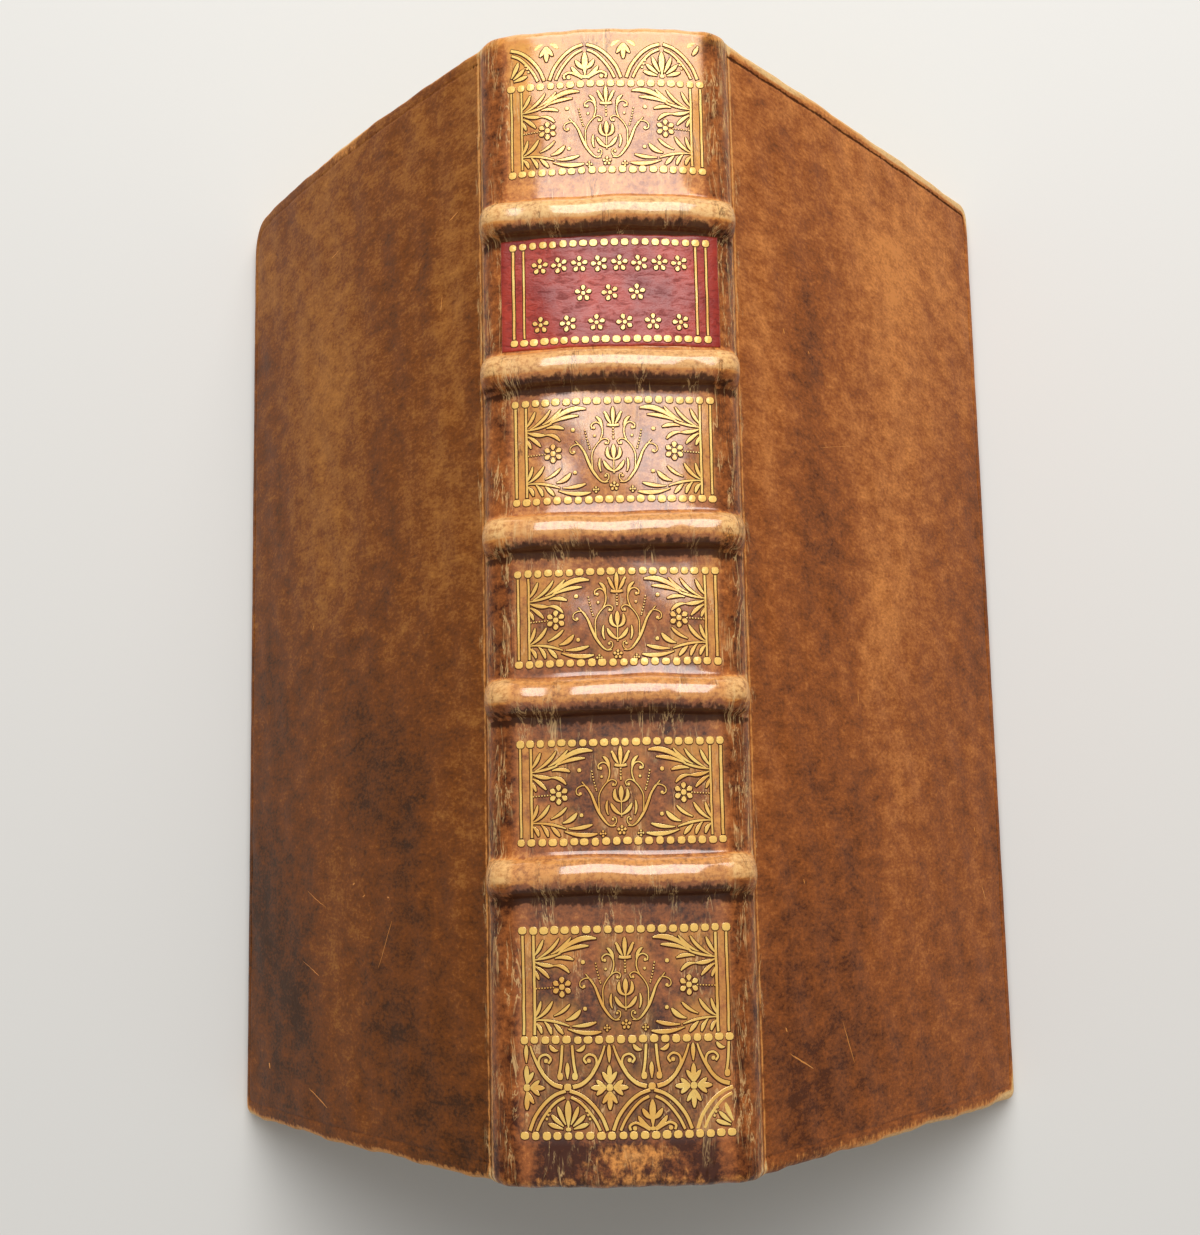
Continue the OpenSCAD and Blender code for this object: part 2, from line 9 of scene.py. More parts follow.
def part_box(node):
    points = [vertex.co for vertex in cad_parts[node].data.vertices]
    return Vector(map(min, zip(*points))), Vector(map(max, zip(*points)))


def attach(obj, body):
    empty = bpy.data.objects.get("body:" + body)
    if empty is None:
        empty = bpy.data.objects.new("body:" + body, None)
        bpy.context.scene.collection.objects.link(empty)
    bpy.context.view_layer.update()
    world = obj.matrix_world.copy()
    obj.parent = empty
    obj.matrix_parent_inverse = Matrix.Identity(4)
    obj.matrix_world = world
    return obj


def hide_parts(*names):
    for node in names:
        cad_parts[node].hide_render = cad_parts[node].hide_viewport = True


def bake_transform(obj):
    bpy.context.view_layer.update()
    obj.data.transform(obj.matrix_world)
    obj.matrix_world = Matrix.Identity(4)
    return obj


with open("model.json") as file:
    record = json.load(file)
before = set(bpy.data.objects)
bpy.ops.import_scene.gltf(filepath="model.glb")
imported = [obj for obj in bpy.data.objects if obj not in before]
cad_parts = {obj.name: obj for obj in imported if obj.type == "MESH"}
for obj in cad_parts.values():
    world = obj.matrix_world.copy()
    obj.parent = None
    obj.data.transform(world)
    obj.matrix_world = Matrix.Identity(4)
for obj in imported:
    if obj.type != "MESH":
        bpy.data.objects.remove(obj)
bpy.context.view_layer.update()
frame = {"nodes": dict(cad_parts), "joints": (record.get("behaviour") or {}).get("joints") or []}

bl_info = {
    "name": "Calf-bound book",
    "version": (1, 0, 0),
    "blender": (4, 5, 0),
    "location": "View3D > Sidebar > Book",
    "description": "Leather, gold tooling, leaves and papers of a small book stood on its edges",
    "category": "Object",
}

MM = 0.001
SIDES = {"front": 1, "back": -1}
UNROLLED = "Unrolled"

# Masks painted on the leather, in the order that they are given in, and the most one may hold
RUB, SOIL, FLEX, HAZE, CLOUD, POLISH = "rub", "soil", "flex", "haze", "cloud", "polish"
MASKS = (RUB, SOIL, FLEX, HAZE, CLOUD, POLISH)
MASK_LIMIT = 1.2
KEPT = "kept"

# Fixed values: the old varnish, and the painted shade between sheets, fibres and wound silks
VARNISH = {"Coat Roughness": 0.13, "Coat IOR": 1.95}
SHEET_SHADE = (0.11, 0.07, 0.04)
FIBRE_SHADE = (0.16, 0.11, 0.07)
SILK_SHADE = (0.03, 0.025, 0.02)

# Seeds for the small differences of hand work
SCUFF_SEED, TOOLING_SEED, LEAF_SEED = 5, 7, 11


# Properties


def metres(name, description, default):
    return bpy.props.FloatProperty(
        name=name, description=description, default=default, unit="LENGTH", precision=5
    )


def degrees(name, description, default):
    return bpy.props.FloatProperty(
        name=name, description=description, default=math.radians(default), subtype="ANGLE"
    )


def share(name, description, default):
    return bpy.props.FloatProperty(
        name=name, description=description, default=default, min=0, max=1, subtype="FACTOR"
    )


def count(name, description, default):
    return bpy.props.IntProperty(name=name, description=description, default=default, min=1)


def colour(name, description, red, green, blue):
    """A colour written as it looks on a screen, kept as the light that it gives back."""
    light = [(c / 255 + 0.055) ** 2.4 / 1.055**2.4 for c in (red, green, blue)]
    return bpy.props.FloatVectorProperty(
        name=name, description=description, default=light, min=0, max=1, subtype="COLOR"
    )


class BindingSizes(bpy.types.PropertyGroup):
    """Sizes of the leather binding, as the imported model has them."""

    half_angle: degrees("Half angle", "Angle between each cover and the upright", 32.3)
    cover_width: metres("Cover width", "Width of a cover from the joint", 96 * MM)
    cover_thickness: metres("Cover thickness", "Board, leather and turned-in leather", 3.9 * MM)
    edge_radius: metres("Edge radius", "Rounding of the covers' long edges", 1.1 * MM)
    turn_in: metres("Turn-in", "Width of the leather turned in inside a cover", 6 * MM)
    front_corner: metres("Front corner", "Radius of the front cover's head corner", 3.5 * MM)
    back_corner: metres("Back corner", "Radius of the back cover's head corner", 6.5 * MM)
    tail_corner: metres("Tail corner", "Radius of both covers' tail corners", 2 * MM)
    front_bow: metres("Front bow", "Outward warp of the front cover", 0.6 * MM)
    back_bow: metres("Back bow", "Outward warp of the back cover", 2.2 * MM)
    spine_rise: metres("Spine rise", "Height of the spine above the joints", 6 * MM)
    shoulder_radius: metres("Shoulder radius", "Radius of the spine's shoulders", 5.2 * MM)
    joint_slope: degrees("Joint slope", "Slope of the spine where it meets the joint", 78)
    crease: metres("Crease", "Half width of the rounded crease at the joint", 0.4 * MM)
    cap_radius: metres("Cap radius", "Rounding of the leather caps", 1.5 * MM)
    cap_proud: metres("Cap proud", "How far the caps stand past the covers", 0.4 * MM)
    cap_lip: metres("Cap lip", "Depth to which a cap folds over its endband", 3 * MM)
    cap_fold: metres("Cap fold", "Radius of the fold at a cap's lower edge", 0.4 * MM)
    band_radius: metres("Band radius", "Outer radius of a raised band", 2.7 * MM)
    band_middle: metres("Band middle", "Height of a band's centre above the leather", 0.1 * MM)
    band_foot: metres("Band foot", "Width of the hollow at a band's foot", 0.9 * MM)
    waver: metres("Waver", "How far a band strays from a straight line", 0.13 * MM)
    swell: metres("Swell", "Unevenness of the leather's face", 0.07 * MM)
    skin: metres("Skin", "Thickness that the visible leather is drawn with", 0.35 * MM)


class ToolingSizes(bpy.types.PropertyGroup):
    """Sizes and places of the gold tooling and the title label."""

    panel_half: metres("Panel half width", "From the middle to the outer fillet", 14.6 * MM)
    drift: metres("Drift", "How far the tooling lies to the front of the middle", 0.3 * MM)
    pearls: count("Pearls", "Pearls in a line", 20)
    pearl: metres("Pearl", "Size of a pearl", 1.38 * MM)
    fillet: metres("Fillet", "Width of a gold fillet", 0.46 * MM)
    fillet_step: metres("Fillet step", "Distance between two side fillets", 1.6 * MM)
    raised: metres("Raised", "Height of the gold above the leather", 0.035 * MM)
    # The dark rims round the gold strokes are a painted shadow
    pressed: metres("Pressed", "How much wider the pressed rims are than the gold", 0.22 * MM)
    line_below: metres("Line below", "From a band down to its first pearl line", 5 * MM)
    line_drift: metres("Line drift", "How much further down each next panel starts", 0.8 * MM)
    line_above: metres("Line above", "From a band up to the pearl line above it", 4.9 * MM)
    first_line: metres("First line", "From the first band up to the panel above", 7.2 * MM)
    head_line: metres("Head line", "From the covers' head to the first pearl line", 8.9 * MM)
    last_line: metres("Last line", "From the covers' tail to the last panel", 19.7 * MM)
    tail_line: metres("Tail line", "From the covers' tail to the last pearl line", 6.7 * MM)
    head_margin: metres("Head margin", "From the covers' head to the roll", 1.6 * MM)
    label_thickness: metres("Label thickness", "Thickness of the label's leather", 0.25 * MM)
    label_reach: metres("Label reach", "From the middle to the label's side", 16.6 * MM)
    label_gap: metres("Label gap", "From a band's crest to the label's edge", 3.15 * MM)


class LeafSizes(bpy.types.PropertyGroup):
    """Sizes of the leaves and papers."""

    stack: metres("Stack", "Thickness of the leaves on each side", 16 * MM)
    width: metres("Width", "Width of a leaf", 93 * MM)
    height: metres("Height", "Height of a leaf", 164 * MM)
    depth: metres("Depth", "Depth of the first leaf below a cover's face", 4.45 * MM)
    sag: degrees("Sag", "How much steeper the innermost leaves hang", 3)
    bulge: metres("Bulge", "Bulge of the leaves' fore edges", 0.7 * MM)
    back_depth: metres("Back depth", "Depth of the leaves' backs below the leather", 1.2 * MM)
    gatherings: count("Gatherings", "Sewn gatherings on each side of the opening", 13)
    uneven: metres("Uneven", "How far gatherings differ at their edges", 0.22 * MM)


class CalfColours(bpy.types.PropertyGroup):
    """Colours of the calfskin, the label and the gold."""

    back_dark: colour("Back dark", "Dark clouds of the back cover", 68, 37, 13)
    back_middle: colour("Back middle", "Plain calf of the back cover", 132, 71, 24)
    back_pale: colour("Back pale", "Pale flecks of the back cover", 188, 122, 56)
    front_dark: colour("Front dark", "Dark clouds of the front cover", 84, 40, 14)
    front_middle: colour("Front middle", "Plain calf of the front cover", 160, 87, 36)
    front_pale: colour("Front pale", "Pale flecks of the front cover", 220, 140, 72)
    spine_dark: colour("Spine dark", "Dark mottling of the spine", 70, 33, 20)
    spine_middle: colour("Spine middle", "Plain calf of the spine", 166, 94, 46)
    spine_pale: colour("Spine pale", "Pale mottling of the spine", 236, 160, 84)
    rubbed: colour("Rubbed", "Calf where the dyed face is rubbed away", 224, 148, 74)
    cracked: colour("Cracked", "Raw calf in the cracks and scuffs", 240, 196, 132)
    # Dirt, and the painted shade on the bands' tail-side flanks
    soiled: colour("Soiled", "Calf in the hollows", 58, 26, 13)
    haze: colour("Gilt haze", "Calf with a worn film of gold", 230, 160, 70)
    sheen: colour("Sheen", "Warm tint of the old varnish's gloss", 255, 226, 186)
    morocco: colour("Morocco", "Red goatskin of the label", 182, 56, 33)
    morocco_deep: colour("Deep morocco", "Darker clouds of the red goatskin", 134, 32, 24)
    morocco_dark: colour("Morocco dark", "Creases of the red goatskin", 92, 20, 14)
    gold: colour("Gold", "Gold leaf", 255, 214, 116)
    gold_old: colour("Old gold", "Gold leaf that has dulled", 240, 176, 78)
    gold_kept: colour("Kept gold", "Gold leaf on the pearls, where it is best kept", 255, 204, 104)


class PaperColours(bpy.types.PropertyGroup):
    """Colours of the leaves, boards, cords and papers."""

    leaf: colour("Leaf", "Rag paper", 226, 211, 178)
    leaf_edge: colour("Leaf edge", "Toned edges of the leaves", 176, 148, 108)
    marble_red: colour("Marble red", "Red of the marbled papers", 138, 44, 36)
    marble_blue: colour("Marble blue", "Blue of the marbled papers", 48, 66, 92)
    marble_buff: colour("Marble buff", "Buff of the marbled papers", 204, 172, 112)
    board: colour("Board", "Pasteboard", 158, 136, 104)
    hemp: colour("Hemp", "Sewing cords", 176, 146, 100)
    parchment: colour("Parchment", "Spine linings", 220, 204, 168)
    silk_blue: colour("Silk blue", "First silk of the endbands", 60, 84, 96)
    silk_white: colour("Silk white", "Second silk of the endbands", 206, 192, 158)


class StageSettings(bpy.types.PropertyGroup):
    """Floor, light and camera."""

    floor: colour("Floor", "Plain pale floor", 226, 224, 219)
    floor_reach: metres("Floor reach", "Half width of the floor", 4.0)
    lamp_power: bpy.props.FloatProperty(
        name="Lamp power", description="Power of the soft lamp", default=7.6, min=0, unit="POWER"
    )
    lamp_distance: metres("Lamp distance", "From the book to the soft lamp", 0.8)
    lamp_tilt: degrees("Lamp tilt", "Angle of the lamp from the upright, to the head", 38)
    lamp_turn: degrees("Lamp turn", "Angle of the lamp to the front cover's side", 4)
    lamp_width: metres("Lamp width", "Size of the lamp across the book", 0.68)
    lamp_height: metres("Lamp height", "Size of the lamp along the book", 0.82)
    sky: share("Sky", "Strength of the even light from all sides", 0.33)
    camera_x: metres("Camera across", "Place of the camera across the book", 2.2 * MM)
    camera_y: metres("Camera along", "Place of the camera along the book", -40.6 * MM)
    camera_height: metres("Camera height", "Height of the camera over the joints", 282.2 * MM)
    camera_pitch: degrees("Camera pitch", "Tilt of the camera towards the head", 9.65)
    camera_roll: degrees("Camera roll", "Turn of the picture", 1.34)
    camera_yaw: degrees("Camera yaw", "Turn of the camera across the book", 0.85)
    lens: bpy.props.FloatProperty(
        name="Lens", description="Focal length for a 36 mm frame", default=57.5, unit="CAMERA"
    )
    shift: bpy.props.FloatProperty(
        name="Shift", description="Upright shift of the frame", default=-0.069
    )


# Shape of the binding


def smooth(t):
    t = np.clip(t, 0, 1)
    return t * t * (3 - 2 * t)


def hill(x, width):
    """1 at x 0, falling to nothing a few widths away."""
    return np.exp(-((x / width) ** 2))


class BookShape:
    """Where the leather lies. Distances across run over the leather from the spine's middle,
    and distances along run from the middle to the head."""

    def __init__(self):
        self.sizes = bpy.context.scene.book_binding
        s = self.sizes
        hinge = next(j for j in frame["joints"] if j["name"] == "front_joint")["pos_m"]
        self.joint_x, self.joint_z = hinge[0], hinge[2]
        self.half_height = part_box("front_cover_leather")[1].y
        self.bands = [
            (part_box(f"sewing_cord_{i}")[0].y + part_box(f"sewing_cord_{i}")[1].y) / 2
            for i in range(1, 6)
        ]
        run = self.joint_x - s.shoulder_radius * math.sin(s.joint_slope)
        lift = s.spine_rise - s.shoulder_radius * (1 - math.cos(s.joint_slope))
        self.crown_angle = 2 * math.atan(lift / run)
        self.crown_radius = s.shoulder_radius + run / math.sin(self.crown_angle)
        self.crown_reach = self.crown_radius * self.crown_angle
        self.joint_reach = self.crown_reach + s.shoulder_radius * (s.joint_slope - self.crown_angle)
        self.unroll()
        self.panels = self.panel_places()
        gap = bpy.context.scene.book_tooling.label_gap
        self.label_ends = (self.bands[1] + gap, self.bands[0] - gap)

    def panel_places(self):
        """Ends along the spine of each tooled compartment, between its pearl lines."""
        t = bpy.context.scene.book_tooling
        h, bands = self.half_height, self.bands
        tops = [h - t.head_line] + [
            y - t.line_below - t.line_drift * i for i, y in enumerate(bands[1:])
        ]
        feet = [bands[0] + t.first_line] + [y + t.line_above for y in bands[2:]] + [t.last_line - h]
        places = {f"gilt_panel_{n}": ends for n, *ends in zip((1, 3, 4, 5, 6), feet, tops)}
        places["gilt_tail_roll"] = (t.tail_line - h, t.last_line - h)
        places["gilt_head_roll"] = (h - t.head_line, h - t.head_margin)
        return places

    def gilt_haze(self, across, along):
        """Worn film of gold round the tools: strong at corners and on rolls, thin between."""
        t = bpy.context.scene.book_tooling
        off = np.abs(across - t.drift)
        inside = smooth((t.panel_half + 0.8 * MM - off) / (1 * MM))
        haze = np.zeros(np.broadcast(across, along).shape)
        for node, (y0, y1) in self.panels.items():
            rise = np.abs(along - (y0 + y1) / 2) / ((y1 - y0) / 2)
            within = smooth((1.04 - rise) / 0.08) * inside
            if "roll" in node:
                haze = np.maximum(haze, (0.85 if y0 > 0 else 0.3) * within)
                continue
            corner = smooth((off - 5.5 * MM) / (3 * MM)) * smooth((rise - 0.1) / 0.45)
            side = 0.75 * smooth((off - 12 * MM) / (1 * MM))
            middle = 0.34 * smooth((4.5 * MM - off) / (1.5 * MM))
            strongest = np.maximum(np.maximum(0.85 * corner, 0.9 * side), middle)
            haze = np.maximum(haze, within * strongest)
        return haze

    def unroll(self):
        """Table of place and fall for each distance across, with the crease rounded."""
        s = self.sizes
        step = 0.05 * MM
        self.across = np.arange(0, self.joint_reach + s.cover_width + 10 * MM, step)
        self.fall = np.interp(
            self.across,
            [0, self.crown_reach, self.joint_reach - s.crease, self.joint_reach + s.crease],
            [0, self.crown_angle, s.joint_slope - s.crease / s.shoulder_radius,
             math.pi / 2 - s.half_angle],
        )
        middle = (self.fall[1:] + self.fall[:-1]) / 2
        self.x = np.concatenate([[0], np.cumsum(np.cos(middle)) * step])
        down = np.concatenate([[0], np.cumsum(np.sin(middle)) * step])
        self.z = self.joint_z + s.spine_rise - down

    def place(self, across, along, off):
        """Points at a signed distance across, a distance along, and off the leather's face."""
        across, along, off = np.broadcast_arrays(across, along, off)
        side = np.where(across < 0, -1.0, 1.0)
        d = np.abs(across)
        x = np.interp(d, self.across, self.x)
        z = np.interp(d, self.across, self.z)
        fall = np.interp(d, self.across, self.fall)
        return np.stack([side * (x + off * np.sin(fall)), along, z + off * np.cos(fall)], -1)

    def bow(self, u, side):
        s = self.sizes
        t = np.clip(u / s.cover_width, 0, 1)
        return 4 * (s.front_bow if side > 0 else s.back_bow) * t * (1 - t)

    def swell(self, across, along):
        """Slight unevenness of the leather, the same for everything that lies on it."""
        waves = (
            (41, 63, 0.3), (-57, 37, 1.9), (23, -91, 4.2), (101, 17, 0.7), (-83, -71, 2.6)
        )
        total = sum(
            np.sin(2 * math.pi * (a * across + b * along) + phase) for a, b, phase in waves
        )
        return self.sizes.swell * total / len(waves) * 2

    def band_share(self, across):
        """Share of a band's height that is left at a distance across."""
        t = (np.abs(across) - self.crown_reach) / (self.joint_reach - self.crown_reach)
        return np.cos(math.pi / 2 * np.clip(t, 0, 1)) ** 1.2

    def band_profile(self):
        """Points (distance from the crest line, height) across a band and its hollow feet."""
        s = self.sizes
        foot = s.band_radius + s.band_foot
        hollow = (foot**2 + s.band_middle**2 - s.band_radius**2) / (
            2 * (s.band_radius + s.band_middle)
        )
        lean = math.atan2(hollow - s.band_middle, foot)
        crest = [
            (s.band_radius * math.sin(a), s.band_middle + s.band_radius * math.cos(a))
            for a in np.linspace(0, math.pi / 2 - lean, 12)
        ]
        feet = [
            (foot - hollow * math.sin(a), hollow - hollow * math.cos(a))
            for a in np.linspace(math.pi / 2 - lean, 0, 6)[1:]
        ]
        half = crest + feet
        return [(-d, h) for d, h in half[:0:-1]] + half

    @staticmethod
    def fold_profile(tucks, low, low_radius, low_from, top, top_radius):
        """Points (inset, depth) over an edge, from the turned-in leather out to the face."""
        lower = [
            (low[0] + low_radius * math.cos(a), low[1] + low_radius * math.sin(a))
            for a in np.linspace(low_from, -math.pi, 7)
        ]
        upper = [
            (top[0] + top_radius * math.cos(a), top[1] + top_radius * math.sin(a))
            for a in np.linspace(math.pi, math.pi / 2, 9)
        ]
        side = [((lower[-1][0] + upper[0][0]) / 2, (lower[-1][1] + upper[0][1]) / 2)]
        return np.array(tucks + lower + side + upper)

    def cap_profile(self):
        s = self.sizes
        inside = s.cap_fold * 2 - s.cap_proud
        tucks = [(inside, -v) for v in np.linspace(1.2 * MM, s.cap_lip - s.cap_fold, 5)[:-1]]
        return self.fold_profile(
            tucks,
            (s.cap_fold - s.cap_proud, s.cap_fold - s.cap_lip), s.cap_fold, 0,
            (s.cap_radius - s.cap_proud, -s.cap_radius), s.cap_radius,
        )

    def edge_profile(self):
        s = self.sizes
        r, t = s.edge_radius, s.cover_thickness
        tucks = [(d, -t) for d in np.linspace(s.turn_in, r, 5)[:-1]]
        return self.fold_profile(tucks, (r, r - t), r, -math.pi / 2, (r, -r), r)


def run_lengths(profile):
    """Distance of each point of a fold profile from its last point, along the profile."""
    steps = np.hypot(*np.diff(profile, axis=0).T)
    return np.concatenate([np.cumsum(steps[::-1])[::-1], [0]])


# Mesh helpers


def add_piece(name, points, faces, unrolled=None, masks=None, smooth_faces=True):
    """Mesh object from points and faces, with its unrolled places and painted masks."""
    mesh = bpy.data.meshes.new(name)
    mesh.from_pydata(np.asarray(points, float).tolist(), [], [list(map(int, f)) for f in faces])
    mesh.polygons.foreach_set("use_smooth", [smooth_faces] * len(mesh.polygons))
    corners = np.zeros(len(mesh.loops), int)
    mesh.loops.foreach_get("vertex_index", corners)
    if unrolled is not None:
        layer = mesh.uv_layers.new(name=UNROLLED)
        layer.uv.foreach_set("vector", np.asarray(unrolled, np.float32)[corners].ravel())
    for label, values in (masks or {}).items():
        kind, field = ("FLOAT", "value") if np.ndim(values) == 1 else ("FLOAT_VECTOR", "vector")
        attribute = mesh.attributes.new(label, kind, "POINT")
        attribute.data.foreach_set(field, np.asarray(values, np.float32).ravel())
    mesh.validate()
    piece = bpy.data.objects.new(name, mesh)
    bpy.context.scene.collection.objects.link(piece)
    return piece


def grid_faces(rows, columns, flip=False):
    """Quads between neighbouring rows of points."""
    made = []
    for j in range(rows - 1):
        for i in range(columns - 1):
            a, b = j * columns + i, (j + 1) * columns + i
            made.append((a, b, b + 1, a + 1) if flip else (a, a + 1, b + 1, b))
    return made


def painted_masks(grid, *values):
    """Masks for every point of a grid, in the order of MASKS."""
    return {
        label: np.clip(np.broadcast_to(value, grid.shape), 0, MASK_LIMIT).ravel()
        for label, value in zip(MASKS, values)
    }


def finish_piece(piece, material, body, slot, *nodes, skin=0):
    """Material and body of a piece, the nodes it replaces, and a sheet's inward skin. The slot is
    not used.
    """
    piece.data.materials.append(material)
    if skin:
        solid = piece.modifiers.new("Leather", "SOLIDIFY")
        solid.thickness = skin
        solid.offset = -1
    if body:
        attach(piece, body)
    if nodes:
        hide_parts(*nodes)


# Shader helpers


class NodeBench:
    """Short way to add and join shader nodes in one tree."""

    def __init__(self, tree, material=None):
        self.tree = tree
        self.material = material

    def add(self, kind, inputs=None, **settings):
        node = self.tree.nodes.new("ShaderNode" + kind)
        for key, value in settings.items():
            setattr(node, key, value)
        for key, value in (inputs or {}).items():
            self.feed(node.inputs[key], value)
        return node

    def feed(self, socket, value):
        if isinstance(value, bpy.types.NodeSocket):
            self.tree.links.new(value, socket)
        elif hasattr(socket.default_value, "__len__") and len(socket.default_value) == 4:
            socket.default_value = (*value[:3], 1)
        else:
            socket.default_value = value

    def maths(self, operation, *values):
        return self.add("Math", dict(enumerate(values)), operation=operation).outputs[0]

    def times(self, a, b):
        return self.maths("MULTIPLY", a, b)

    def total(self, start, *parts):
        """A value with parts added to it, each a value and its weight."""
        for value, weight in parts:
            start = self.maths("MULTIPLY_ADD", value, weight, start)
        return start

    def vector_maths(self, operation, *values):
        return self.add("VectorMath", dict(enumerate(values)), operation=operation).outputs[0]

    def scaled(self, vector, x, y, z=1):
        return self.vector_maths("MULTIPLY", vector, (x, y, z))

    def noise(self, vector, scale, detail=3, roughness=0.55, distortion=0):
        names = ("Vector", "Scale", "Detail", "Roughness", "Distortion")
        values = (vector, scale, detail, roughness, distortion)
        return self.add("TexNoise", dict(zip(names, values))).outputs["Fac"]

    def ranged(self, kind, *values):
        names = ("Value", "From Min", "From Max", "To Min", "To Max")
        node = self.add("MapRange", dict(zip(names, values)), interpolation_type=kind)
        return node.outputs["Result"]

    def step(self, value, low, high, to_low=0.0, to_high=1.0):
        """Smooth change of a value from one level to another."""
        return self.ranged("SMOOTHSTEP", value, low, high, to_low, to_high)

    def slope(self, value, low, high, to_low=0.0, to_high=1.0):
        """Even change of a value from one level to another."""
        return self.ranged("LINEAR", value, low, high, to_low, to_high)

    def layers(self, colour, *coats):
        """A colour with coats laid over it, each a mask and its colour."""
        for mask, coat in coats:
            node = self.add("Mix", {"Factor": mask, 6: colour, 7: coat}, data_type="RGBA")
            colour = node.outputs[2]
        return colour

    def warp(self, vector, scale, amount):
        """A vector moved about by a noise."""
        noise = self.add("TexNoise", {"Vector": vector, "Scale": scale, "Detail": 2})
        centred = self.vector_maths("SUBTRACT", noise.outputs["Color"], (0.5, 0.5, 0.5))
        return self.vector_maths("MULTIPLY_ADD", centred, (amount, amount, amount), vector)

    def unrolled_place(self):
        return self.add("UVMap", uv_map=UNROLLED).outputs[0]

    def object_place(self):
        return self.add("TexCoord").outputs["Object"]

    def painted(self, label):
        return self.add("Attribute", attribute_name=label).outputs["Fac"]

    def bump(self, height, depth, strength):
        inputs = {"Height": height, "Distance": depth, "Strength": strength}
        return self.add("Bump", inputs).outputs[0]

    def finish(self, inputs):
        """The material, with a surface of these values."""
        shader = self.add("BsdfPrincipled", inputs)
        self.add("OutputMaterial", {"Surface": shader.outputs[0]})
        return self.material


KINDS = {"vector": "NodeSocketVector", "colour": "NodeSocketColor", "number": "NodeSocketFloat"}


def shader_group(name, inputs, outputs):
    """Makes a function that fills a node group into one that places the group. inputs are
    (name, kind, default) and outputs (name, kind). The function takes a bench and the inputs
    by name and returns the output sockets by name, and is called once, at the first placing."""

    def build(fill):
        tree = bpy.data.node_groups.new(name, "ShaderNodeTree")
        for label, kind, default in inputs:
            socket = tree.interface.new_socket(label, in_out="INPUT", socket_type=KINDS[kind])
            if default is not None:
                socket.default_value = (*default, 1) if kind == "colour" else default
        for label, kind in outputs:
            tree.interface.new_socket(label, in_out="OUTPUT", socket_type=KINDS[kind])
        start = tree.nodes.new("NodeGroupInput")
        end = tree.nodes.new("NodeGroupOutput")
        results = fill(NodeBench(tree), {label: start.outputs[label] for label, *_ in inputs})
        for label, socket in results.items():
            tree.links.new(socket, end.inputs[label])
        return tree

    def make_placer(fill):
        def place(bench, values):
            tree = bpy.data.node_groups.get(name) or build(fill)
            return bench.add("Group", values, node_tree=tree).outputs

        return place

    return make_placer


@shader_group(
    "Mottled dye",
    [
        ("Place", "vector", None), ("Grain", "vector", (1.0, 1.0, 1.0)), ("Paint", "number", 0.5),
        ("Dark", "colour", (0.03, 0.015, 0.008)), ("Middle", "colour", (0.13, 0.06, 0.02)),
        ("Pale", "colour", (0.26, 0.13, 0.05)), ("Clouds", "number", 40.0),
        ("Flecks", "number", 1000.0), ("Fleck depth", "number", 0.9),
    ],
    [("Colour", "colour"), ("Level", "number"), ("Flecks", "number"), ("Patches", "number")],
)
def mottled_dye(bench, socket):
    """Uneven brown dye: broad clouds, patches and small flecks over painted clouds and painted
    light.
    """
    place = bench.vector_maths("MULTIPLY", socket["Place"], socket["Grain"])
    broad = bench.noise(bench.scaled(place, 1, 0.6), socket["Clouds"], 4, 0.6, 0.6)
    patches = bench.noise(place, 340, 4, 0.72)
    flecks = bench.noise(place, socket["Flecks"], 3, 0.7)
    level = bench.total(
        bench.maths("ADD", socket["Paint"], -1.0),
        (broad, 0.9), (patches, 1.1),
        (flecks, socket["Fleck depth"]), (socket["Fleck depth"], -0.5),
    )
    made = bench.layers(
        socket["Dark"],
        (bench.slope(level, 0.05, 0.5), socket["Middle"]),
        (bench.slope(level, 0.5, 0.95), socket["Pale"]),
    )
    return {"Colour": made, "Level": level, "Flecks": flecks, "Patches": patches}


@shader_group(
    "Flex lines",
    [
        ("Place", "vector", None), ("Stretch", "vector", (620.0, 100.0, 1.0)),
        ("Width", "number", 0.032), ("Amount", "number", 0.5),
    ],
    [("Pale", "number"), ("Dark", "number")],
)
def flex_lines(bench, socket):
    """Long thin cracks that wander along the book: pale ones, and dark ones beside them."""
    stretched = bench.vector_maths("MULTIPLY", socket["Place"], socket["Stretch"])
    wander = bench.noise(stretched, 1, 4, 0.68, 0.9)
    patches = bench.noise(bench.scaled(socket["Place"], 1, 0.35), 300, 2, 0.6)
    shown = bench.step(bench.maths("ADD", patches, socket["Amount"]), 0.94, 1.1)
    made = {}
    for label, middle in (("Pale", 0.5), ("Dark", 0.4)):
        off = bench.maths("ABSOLUTE", bench.maths("SUBTRACT", wander, middle))
        made[label] = bench.times(bench.step(off, 0.0, socket["Width"], 1.0, 0.0), shown)
    return made


@shader_group(
    "Rubbed face",
    [
        ("Place", "vector", None), ("Stretch", "vector", (900.0, 500.0, 1.0)),
        ("Rub", "number", 0.0), ("Softness", "number", 0.35),
    ],
    [("Mask", "number")],
)
def rubbed_face(bench, socket):
    """Ragged mask where a painted amount of rubbing has worn the face."""
    place = bench.vector_maths("MULTIPLY", socket["Place"], socket["Stretch"])
    ragged = bench.noise(place, 1, 4, 0.65)
    level = bench.total(bench.maths("SUBTRACT", socket["Rub"], 1.15), (ragged, 1.3))
    return {"Mask": bench.step(level, 0.0, socket["Softness"])}


@shader_group(
    "Fibre mat",
    [("Place", "vector", None), ("Size", "number", 900.0)],
    [("Mask", "number"), ("Height", "number")],
)
def fibre_mat(bench, socket):
    """Short fibres: a mask for colour and a height."""
    one = bench.noise(bench.scaled(socket["Place"], 1, 0.12), socket["Size"], 4, 0.7)
    two = bench.noise(bench.scaled(socket["Place"], 0.12, 1), socket["Size"], 4, 0.7)
    both = bench.total(bench.times(two, 0.5), (one, 0.5))
    return {"Mask": bench.step(both, 0.35, 0.65), "Height": both}


